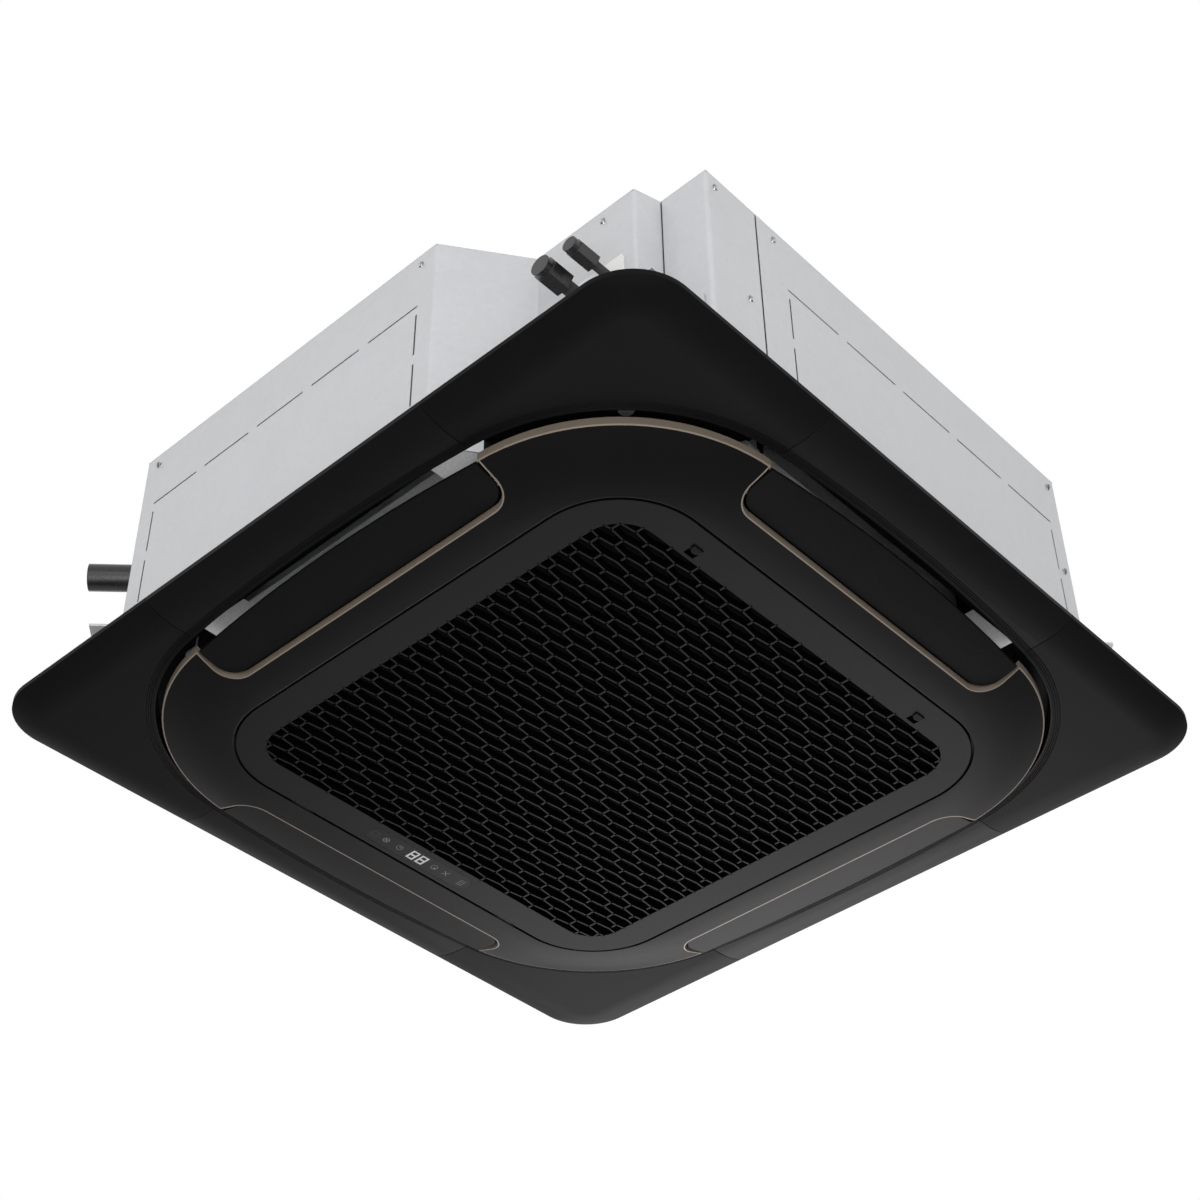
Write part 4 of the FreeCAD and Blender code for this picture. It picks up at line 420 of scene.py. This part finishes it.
COMB_COLUMNS, CORNER_STEPS = 20, 24


def outside_by(points, half, radius):
    """How far points lie outside a rounded square, less than zero inside: the distance to its corners'
    middles or sides, less the corner radius."""
    beyond = np.abs(points[..., :2]) - (half - radius)
    return np.linalg.norm(np.maximum(beyond, 0), axis=-1) + np.minimum(beyond.max(axis=-1), 0) - radius


def reach(offset, half, radius):
    """How far a rounded square reaches to each side on a line that is offset from its middle: the straight
    part, and the rest of the corner's circle there."""
    beyond = max(abs(offset) - (half - radius), 0)
    return half - radius + math.sqrt(radius ** 2 - beyond ** 2) if beyond < radius else 0


def rounded_loop(half, radius):
    """Points round a rounded square: a quarter circle about the middle of each corner in turn."""
    around = (np.arange(4)[:, None] + np.linspace(0, 1, CORNER_STEPS)[None, :]).ravel() * np.pi / 2
    middle = np.repeat([(1, 1), (-1, 1), (-1, -1), (1, -1)], CORNER_STEPS, axis=0) * (half - radius)
    return middle + radius * np.stack([np.cos(around), np.sin(around)], axis=-1)


def at_level(line, level):
    """A flat line of points at a level."""
    return np.column_stack([line, np.full(len(line), level)])


def strip(left, right, low, high):
    """A closed bar: the rectangle between two lines of points and two levels, carried along the lines."""
    count = len(left)
    corners = [at_level(left, low), at_level(right, low), at_level(right, high), at_level(left, high)]
    faces = np.vstack([grid_faces(count, 4)[:, ::-1], np.arange(4), 4 * count - 1 - np.arange(4)])
    return np.stack(corners, axis=1).reshape(-1, 3), faces


def open_edges(faces):
    """The edges of triangles that no neighbour runs along the other way."""
    edges = np.vstack([faces[:, [0, 1]], faces[:, [1, 2]], faces[:, [2, 0]]])
    many = faces.max() + 1
    return edges[~np.isin(edges @ (many, 1), edges @ (1, many))]


grille_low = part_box("intake_grille")[0][2]
grille_high = grille_low + COMB_DEEP
honeycomb = Finish("honeycomb_black")
comb_face = moulded_black(honeycomb, SATIN_GRAIN, SATIN_DARK, SATIN_PALE, rough=0.40, specular=0.07,
                          depth=0.05 * MM, edge=0.2 * MM)
comb_grain = honeycomb.noise(SATIN_GRAIN, detail=3.0)
# Painted shade: the cell walls get a near black colour for the shade deep in the cells.
comb_wall_shade = honeycomb.shader(Base_Color=honeycomb.between(comb_grain, WALL_SHADE_DARK, WALL_SHADE_PALE),
                             Roughness=0.8 + comb_grain * 0.1, Specular_IOR_Level=0.012)
comb_black = honeycomb.blended(honeycomb.axis("Z") > grille_low + WALL_RISE, comb_face, comb_wall_shade)

# The border and its barrels are the CAD's own faces outside the rim, closed by a wall along the rim.
cad_points, cad_faces = node_mesh("intake_grille")
corner_out = outside_by(cad_points, RIM_HALF, RIM_RADIUS)[cad_faces]
middle_out = outside_by(cad_points[cad_faces].mean(axis=1), RIM_HALF, RIM_RADIUS)
on_rim = np.abs(corner_out).max(axis=1) < RIM_TOUCH
kept = (corner_out.min(axis=1) > -RIM_TOUCH) & (middle_out > 0) & ~on_rim
used, border_faces = np.unique(cad_faces[kept], return_inverse=True)
border, border_faces = cad_points[used], border_faces.reshape(-1, 3)
edges = open_edges(border_faces)
is_low = border[edges[:, 0], 2] < border[edges, 2].mean()
low_edges, high_corners = edges[is_low], edges[~is_low, 0]
apart = np.linalg.norm(border[low_edges][:, :, None, :2] - border[high_corners][:, :2], axis=-1)
border_wall = np.column_stack([low_edges[:, ::-1], high_corners[apart.argmin(axis=-1)]])

# The rim is a ring of its own, and the ribs and bars end inside it.
outer, inner = rounded_loop(RIM_HALF, RIM_RADIUS), rounded_loop(RIM_HALF - RIM_WIDE, RIM_RADIUS - RIM_WIDE)
rim = np.vstack([at_level(outer, grille_low), at_level(inner, grille_low), at_level(inner, grille_high),
                 at_level(outer, grille_high)])
comb_parts = [(border, [*border_faces, *border_wall]), (rim, grid_faces(4, len(outer), closed=True)[:, ::-1])]
opening_half, opening_radius = RIM_HALF - RIM_WIDE + RIM_BITE, RIM_RADIUS - RIM_WIDE + RIM_BITE
kinks = np.arange(-COMB_COLUMNS, COMB_COLUMNS + 1) * CELL_ALONG / 2
for column in range(-COMB_COLUMNS, COMB_COLUMNS):
    rib_middle, is_even = column * CELL_ACROSS + COMB_SHIFT, column % 2 == 0
    rib_end = reach(rib_middle, opening_half, opening_radius)
    if rib_end > CELL_ALONG / 2:
        rib_y = np.concatenate([[-rib_end], kinks[np.abs(kinks) < rib_end - RIB_HALF], [rib_end]])
        shift = CELL_ALONG / 2 if is_even else 0
        rib_x = rib_middle + RIB_WAVE * (1 - 4 * np.abs((rib_y - shift) / CELL_ALONG % 1 - 0.5))
        comb_parts.append(strip(np.column_stack([rib_x - RIB_HALF, rib_y]),
                                np.column_stack([rib_x + RIB_HALF, rib_y]), grille_low, grille_high))
    for row in range(-COMB_COLUMNS, COMB_COLUMNS):
        step = 2 * row if is_even else 2 * row + 1
        bar_y, bar_long = step * CELL_ALONG / 2, SPUR_SHARE if step % 4 in (1, 2) else 1
        bar_end = reach(abs(bar_y) + BAR_HALF, opening_half, opening_radius)
        bar_x = rib_middle + np.array([1 - bar_long, 1]) * CELL_ACROSS
        bar_x = np.clip(bar_x, -bar_end, bar_end)
        if bar_x[1] - bar_x[0] > BAR_HALF:
            comb_parts.append(strip(np.column_stack([bar_x, (bar_y + BAR_HALF, bar_y + BAR_HALF)]),
                                    np.column_stack([bar_x, (bar_y - BAR_HALF, bar_y - BAR_HALF)]),
                                    grille_low, grille_high))
make_piece("honeycomb_grille", comb_parts, comb_black, "grille", "intake_grille")

# Trim. A thin band of bronze paint on the plate's edge and round its louver recesses.
# At the plate's outer edge the paint stops part of the way up the side, and the rest is black.
PAINT_TOP, BARE_BLACK, BRONZE = -10.8 * MM, (0.004, 0.004, 0.004), (0.19, 0.157, 0.12)
bronze = Finish("bronze_trim_paint")
flake = bronze.noise(0.5 * MM)
painted = bronze.axis("Z") < PAINT_TOP
bronze_paint = bronze.done(
    Base_Color=bronze.between(painted * (0.7 + flake * 0.3), BARE_BLACK, BRONZE), Metallic=0.4,
    Roughness=0.42 + flake * 0.1, Normal=bronze.bump(flake, depth=0.05 * MM, strength=0.3))
dress(bronze_paint, "plate_edge_trim")

# Foam. White beaded polystyrene for the drain pan, the seals round the air slots and the float.
# Its beads are pressed together in a mould, so they show as low domes between fine creases.
# The creases are painted greyer than the beads: painted shade.
BEAD_SIZE, FOAM_CREASE_SHADE, FOAM_WHITE = 4.5 * MM, (0.74, 0.74, 0.75), (0.84, 0.84, 0.85)
bead = Finish("white_bead_foam")
beads = bead.node("ShaderNodeTexVoronoi", {"feature": "DISTANCE_TO_EDGE"},
                  {"Vector": bead.point, "Scale": 1 / BEAD_SIZE}, "Distance")
white_foam = bead.done(Base_Color=bead.between(beads * 3, FOAM_CREASE_SHADE, FOAM_WHITE), Roughness=0.75,
                       Normal=bead.bump(beads, depth=0.6 * MM, strength=0.5))
dress(white_foam, "drain_pan", "outlet_seals", "drain_float")

# Pipe caps and drain stub. Glossy black mouldings: the caps are screwed on the pipe ends, and the stub
# takes the drain pipe.
gloss_black = grained("gloss_black_moulding", size=4 * MM, low=(0.006, 0.006, 0.0065),
                      high=(0.010, 0.010, 0.0105), rough=0.22, span=0.12, depth=0.2 * MM, strength=0.25,
                      edge=1 * MM)
dress(gloss_black, "gas_pipe_cap", "liquid_pipe_cap", "drain_outlet")

# Soft black pieces. The lagging of the two pipes, the short hose between pump and stub, and the rubber
# mounts under the motor's plate.
soft_black = grained("soft_black_rubber", size=1 * MM, low=(0.012, 0.012, 0.012), high=(0.024, 0.024, 0.024),
                     rough=0.62, span=0.15, depth=0.2 * MM, strength=0.4, detail=3.0)
dress(soft_black, "drain_hose", "gas_pipe", "liquid_pipe", "motor_mounts")

# Liner. Dark grey closed-cell foam, glued inside the casing's sheets against sweating.
# Its cut face shows small cells, each with its own grey.
FOAM_CELL, LINER_DARK, LINER_PALE = 2 * MM, (0.05, 0.05, 0.055), (0.10, 0.10, 0.105)
closed_foam = Finish("grey_closed_foam")
foam_cells = closed_foam.cells(FOAM_CELL)
grey_foam = closed_foam.done(Base_Color=closed_foam.between(foam_cells, LINER_DARK, LINER_PALE),
                             Roughness=0.85,
                             Normal=closed_foam.bump(foam_cells, depth=0.5 * MM, strength=0.5))
dress(grey_foam, "foam_liner")

# Filter. A fine black nylon net stretched in a moulded frame behind the grille.
# The net is a woven square grid: thread height comes from two crossed waves.
# The holes between the threads are painted near black: painted shade of the dark inside seen through them.
NET_PITCH, NET_OPEN, NET_THREAD, NET_HOLE_SHADE = 1.6 * MM, 0.62, (0.0042, 0.0041, 0.0042), (0.0008, 0.0008, 0.0008)
net = Finish("nylon_net")
thread_x = abs(net.axis("X") / NET_PITCH % 1 - 0.5)
thread_y = abs(net.axis("Y") / NET_PITCH % 1 - 0.5)
thread = net.larger(thread_x, thread_y) * 2
hole_shade = thread < NET_OPEN
net_black = net.done(Base_Color=net.between(hole_shade, NET_THREAD, NET_HOLE_SHADE), Roughness=0.6 + hole_shade * 0.3,
                     Specular_IOR_Level=0.04, Normal=net.bump(thread, depth=0.4 * MM, strength=0.6))
dress(net_black, "filter_sheet")

# Display. A window flush in the grille's border in the panel's own black, with dim icons printed on it.
# From the left: a faint square, a fan, a clock, two digits, a drop, crossed blades and a grid of dots.
DISPLAY_X, ICON_RADIUS, ICON_LINE = -291.5 * MM, 4.3 * MM, 0.8 * MM
SQUARE_AT, FAN_AT, CLOCK_AT, TENS_AT = -69 * MM, -52 * MM, -31 * MM, -10 * MM
UNITS_AT, DROP_AT, BLADES_AT, DOTS_AT = 4 * MM, 24 * MM, 42 * MM, 67 * MM
DIGIT_WIDE, DIGIT_TALL = 5.3 * MM, 8 * MM
DIGIT_HOLE_WIDE, DIGIT_HOLE_TALL, DIGIT_HOLE_AT = 2.9 * MM, 2.3 * MM, 3.6 * MM
DROP_SPOT, DROP_ASIDE, BLADES_RADIUS, DOT_PITCH = 1.4 * MM, 1.5 * MM, 5.2 * MM, 3 * MM
SQUARE_WIDE, SQUARE_TALL, SQUARE_LINE = 4.5 * MM, 5.0 * MM, 0.7 * MM
HAND_LONG, HAND_SHORT, HAND_RISE, HAND_ASIDE = 1.5 * MM, 1.3 * MM, 1.3 * MM, 1 * MM
WINDOW_BLACK, PRINT_WHITE = (0.0028, 0.0027, 0.0028), (0.66, 0.65, 0.65)
ICON_GREY, DIGIT_GREY, FAINT_GREY = 0.16, 0.6, 0.03
smoke = Finish("smoked_window")
reading, rising = smoke.axis("Y"), smoke.axis("X") - DISPLAY_X


def disc(across, along, radius):
    """One inside a round spot, zero outside."""
    return across * across + along * along < radius * radius


def bar(across, along, half_across, half_along):
    """One inside an upright bar, zero outside."""
    return (abs(across) < half_across) * (abs(along) < half_along)


def round_line(across, along, radius):
    """One on a thin ring, zero elsewhere."""
    return disc(across, along, radius) - disc(across, along, radius - ICON_LINE)


def cross(across, along, radius):
    """One on two slanted strokes that cross, zero elsewhere."""
    strokes = smoke.larger(abs(across - along) < ICON_LINE, abs(across + along) < ICON_LINE)
    return strokes * disc(across, along, radius)


def eight(across):
    """One on a digit with all its seven segments, zero elsewhere."""
    holes = (abs(across) < DIGIT_HOLE_WIDE) * (abs(abs(rising) - DIGIT_HOLE_AT) < DIGIT_HOLE_TALL)
    return bar(across, rising, DIGIT_WIDE, DIGIT_TALL) * (1 - holes)


from_fan, from_clock, from_drop = reading - FAN_AT, reading - CLOCK_AT, reading - DROP_AT
from_dots, from_square = reading - DOTS_AT, reading - SQUARE_AT
fan_icon = round_line(from_fan, rising, ICON_RADIUS) + cross(from_fan, rising, ICON_RADIUS - ICON_LINE)
hands = smoke.larger(bar(from_clock, rising - HAND_RISE, ICON_LINE / 2, HAND_LONG),
                     bar(from_clock - HAND_ASIDE, rising, HAND_SHORT, ICON_LINE / 2))
clock_icon = round_line(from_clock, rising, ICON_RADIUS) + hands
drop_icon = (round_line(from_drop, rising, ICON_RADIUS)
             + disc(from_drop - DROP_ASIDE, rising + DROP_ASIDE, DROP_SPOT))
blades_icon = cross(reading - BLADES_AT, rising, BLADES_RADIUS)
dot_grid = (from_dots / DOT_PITCH % 1 < 0.5) * (rising / DOT_PITCH % 1 < 0.5)
dots_icon = bar(from_dots, rising, 1.5 * DOT_PITCH, 2 * DOT_PITCH) * dot_grid
icons = fan_icon + clock_icon + drop_icon + blades_icon + dots_icon
digits = eight(reading - TENS_AT) + eight(reading - UNITS_AT)
faint = (bar(from_square, rising, SQUARE_WIDE, SQUARE_TALL)
         - bar(from_square, rising, SQUARE_WIDE - SQUARE_LINE, SQUARE_TALL - SQUARE_LINE))
printed = icons * ICON_GREY + digits * DIGIT_GREY + faint * FAINT_GREY
smoke_cloud = smoke.noise(10 * MM)
smoked = smoke.done(Base_Color=smoke.between(printed, WINDOW_BLACK, PRINT_WHITE), Specular_IOR_Level=0.07,
                    Roughness=0.36 + smoke_cloud * 0.06,
                    Normal=smoke.bump(smoke_cloud, depth=0.05 * MM, strength=0.2, edge=0.5 * MM))
dress(smoked, "display_window")

# Circuit boards. Green lacquer over copper tracks, one behind the display and one in the control box.
# The tracks show as paler bands where the lacquer lies over metal.
LACQUER, LACQUER_ON_TRACK = (0.010, 0.075, 0.028), (0.020, 0.130, 0.050)
TRACK_SIZE, TRACK_STRETCH, TRACK_PITCH, TRACK_WIDE = 4 * MM, (1, 0.3, 1), 0.12, 0.05
board = Finish("green_board")
track = board.noise(TRACK_SIZE, detail=0.0, stretch=TRACK_STRETCH) % TRACK_PITCH < TRACK_WIDE
green_board = board.done(Base_Color=board.between(track, LACQUER, LACQUER_ON_TRACK),
                         Roughness=0.30 + track * 0.1,
                         Normal=board.bump(track, depth=0.05 * MM, strength=0.4))
dress(green_board, "display_board", "circuit_board")

# Coil. Thin aluminium fins pressed on to copper tube, which ends in two copper headers.
# The fins stand across the run of each side, so the wave that draws them follows both level axes.
# Between the pale fin edges the wave is painted darker: painted shade in the gaps between the fins.
FIN_PITCH, FIN_GAP_SHADE, FIN_EDGE = 1.8 * MM, (0.46, 0.48, 0.50), (0.80, 0.82, 0.84)
fins = Finish("aluminium_fins")
fin_wave = abs((fins.axis("X") + fins.axis("Y")) / FIN_PITCH % 1 - 0.5) * 2
fin_aluminium = fins.done(Base_Color=fins.between(fin_wave, FIN_GAP_SHADE, FIN_EDGE), Metallic=0.2,
                          Roughness=0.40 + fin_wave * 0.1,
                          Normal=fins.bump(fin_wave, depth=0.8 * MM, strength=0.8))
dress(fin_aluminium, "coil_fins")
copper = grained("drawn_copper", size=12 * MM, low=(0.50, 0.20, 0.10), high=(0.62, 0.30, 0.17),
                 rough=0.30, span=0.2, depth=0.1 * MM, strength=0.2, detail=3.0, Metallic=1.0)
dress(copper, "coil_headers")

# Motors, pins and bolts. Plain turned steel: the fan's motor with its shaft and nut, the four louver motors,
# the grille's hinge pins and the bolts that hold the panel.
plain_steel = grained("plain_steel", size=0.8 * MM, low=(0.36, 0.36, 0.37), high=(0.50, 0.50, 0.51),
                      rough=0.34, span=0.14, depth=0.1 * MM, strength=0.3, stretch=(0.2, 0.2, 1),
                      Metallic=0.9)
dress(plain_steel, "fan_motor", "motor_shaft", "hub_nut", "grille_hinge_pins", "panel_bolts",
      "louver_motor_front", "louver_motor_right", "louver_motor_back", "louver_motor_left")

# Fan. One grey moulding of hub, blades and shroud, held on the shaft by its nut.
# It draws air in through the bell mouth and throws it out through the coil.
fan_grey = grained("grey_fan_moulding", size=1 * MM, low=(0.13, 0.14, 0.15), high=(0.18, 0.19, 0.20),
                   rough=0.48, span=0.1, depth=0.1 * MM, strength=0.3, edge=1 * MM)
dress(fan_grey, "fan_impeller")

# Pump, float stem, terminals and pipe grommet. White mouldings.
# The pump and the stem stand on the drain pan, and the grommet closes the casing round the pipes.
white_moulding = grained("white_moulding", size=1.5 * MM, low=(0.62, 0.62, 0.60), high=(0.70, 0.70, 0.68),
                         rough=0.45, span=0.1, depth=0.1 * MM, strength=0.3, edge=1 * MM)
dress(white_moulding, "drain_pump", "float_stem", "terminal_block", "pipe_grommet")
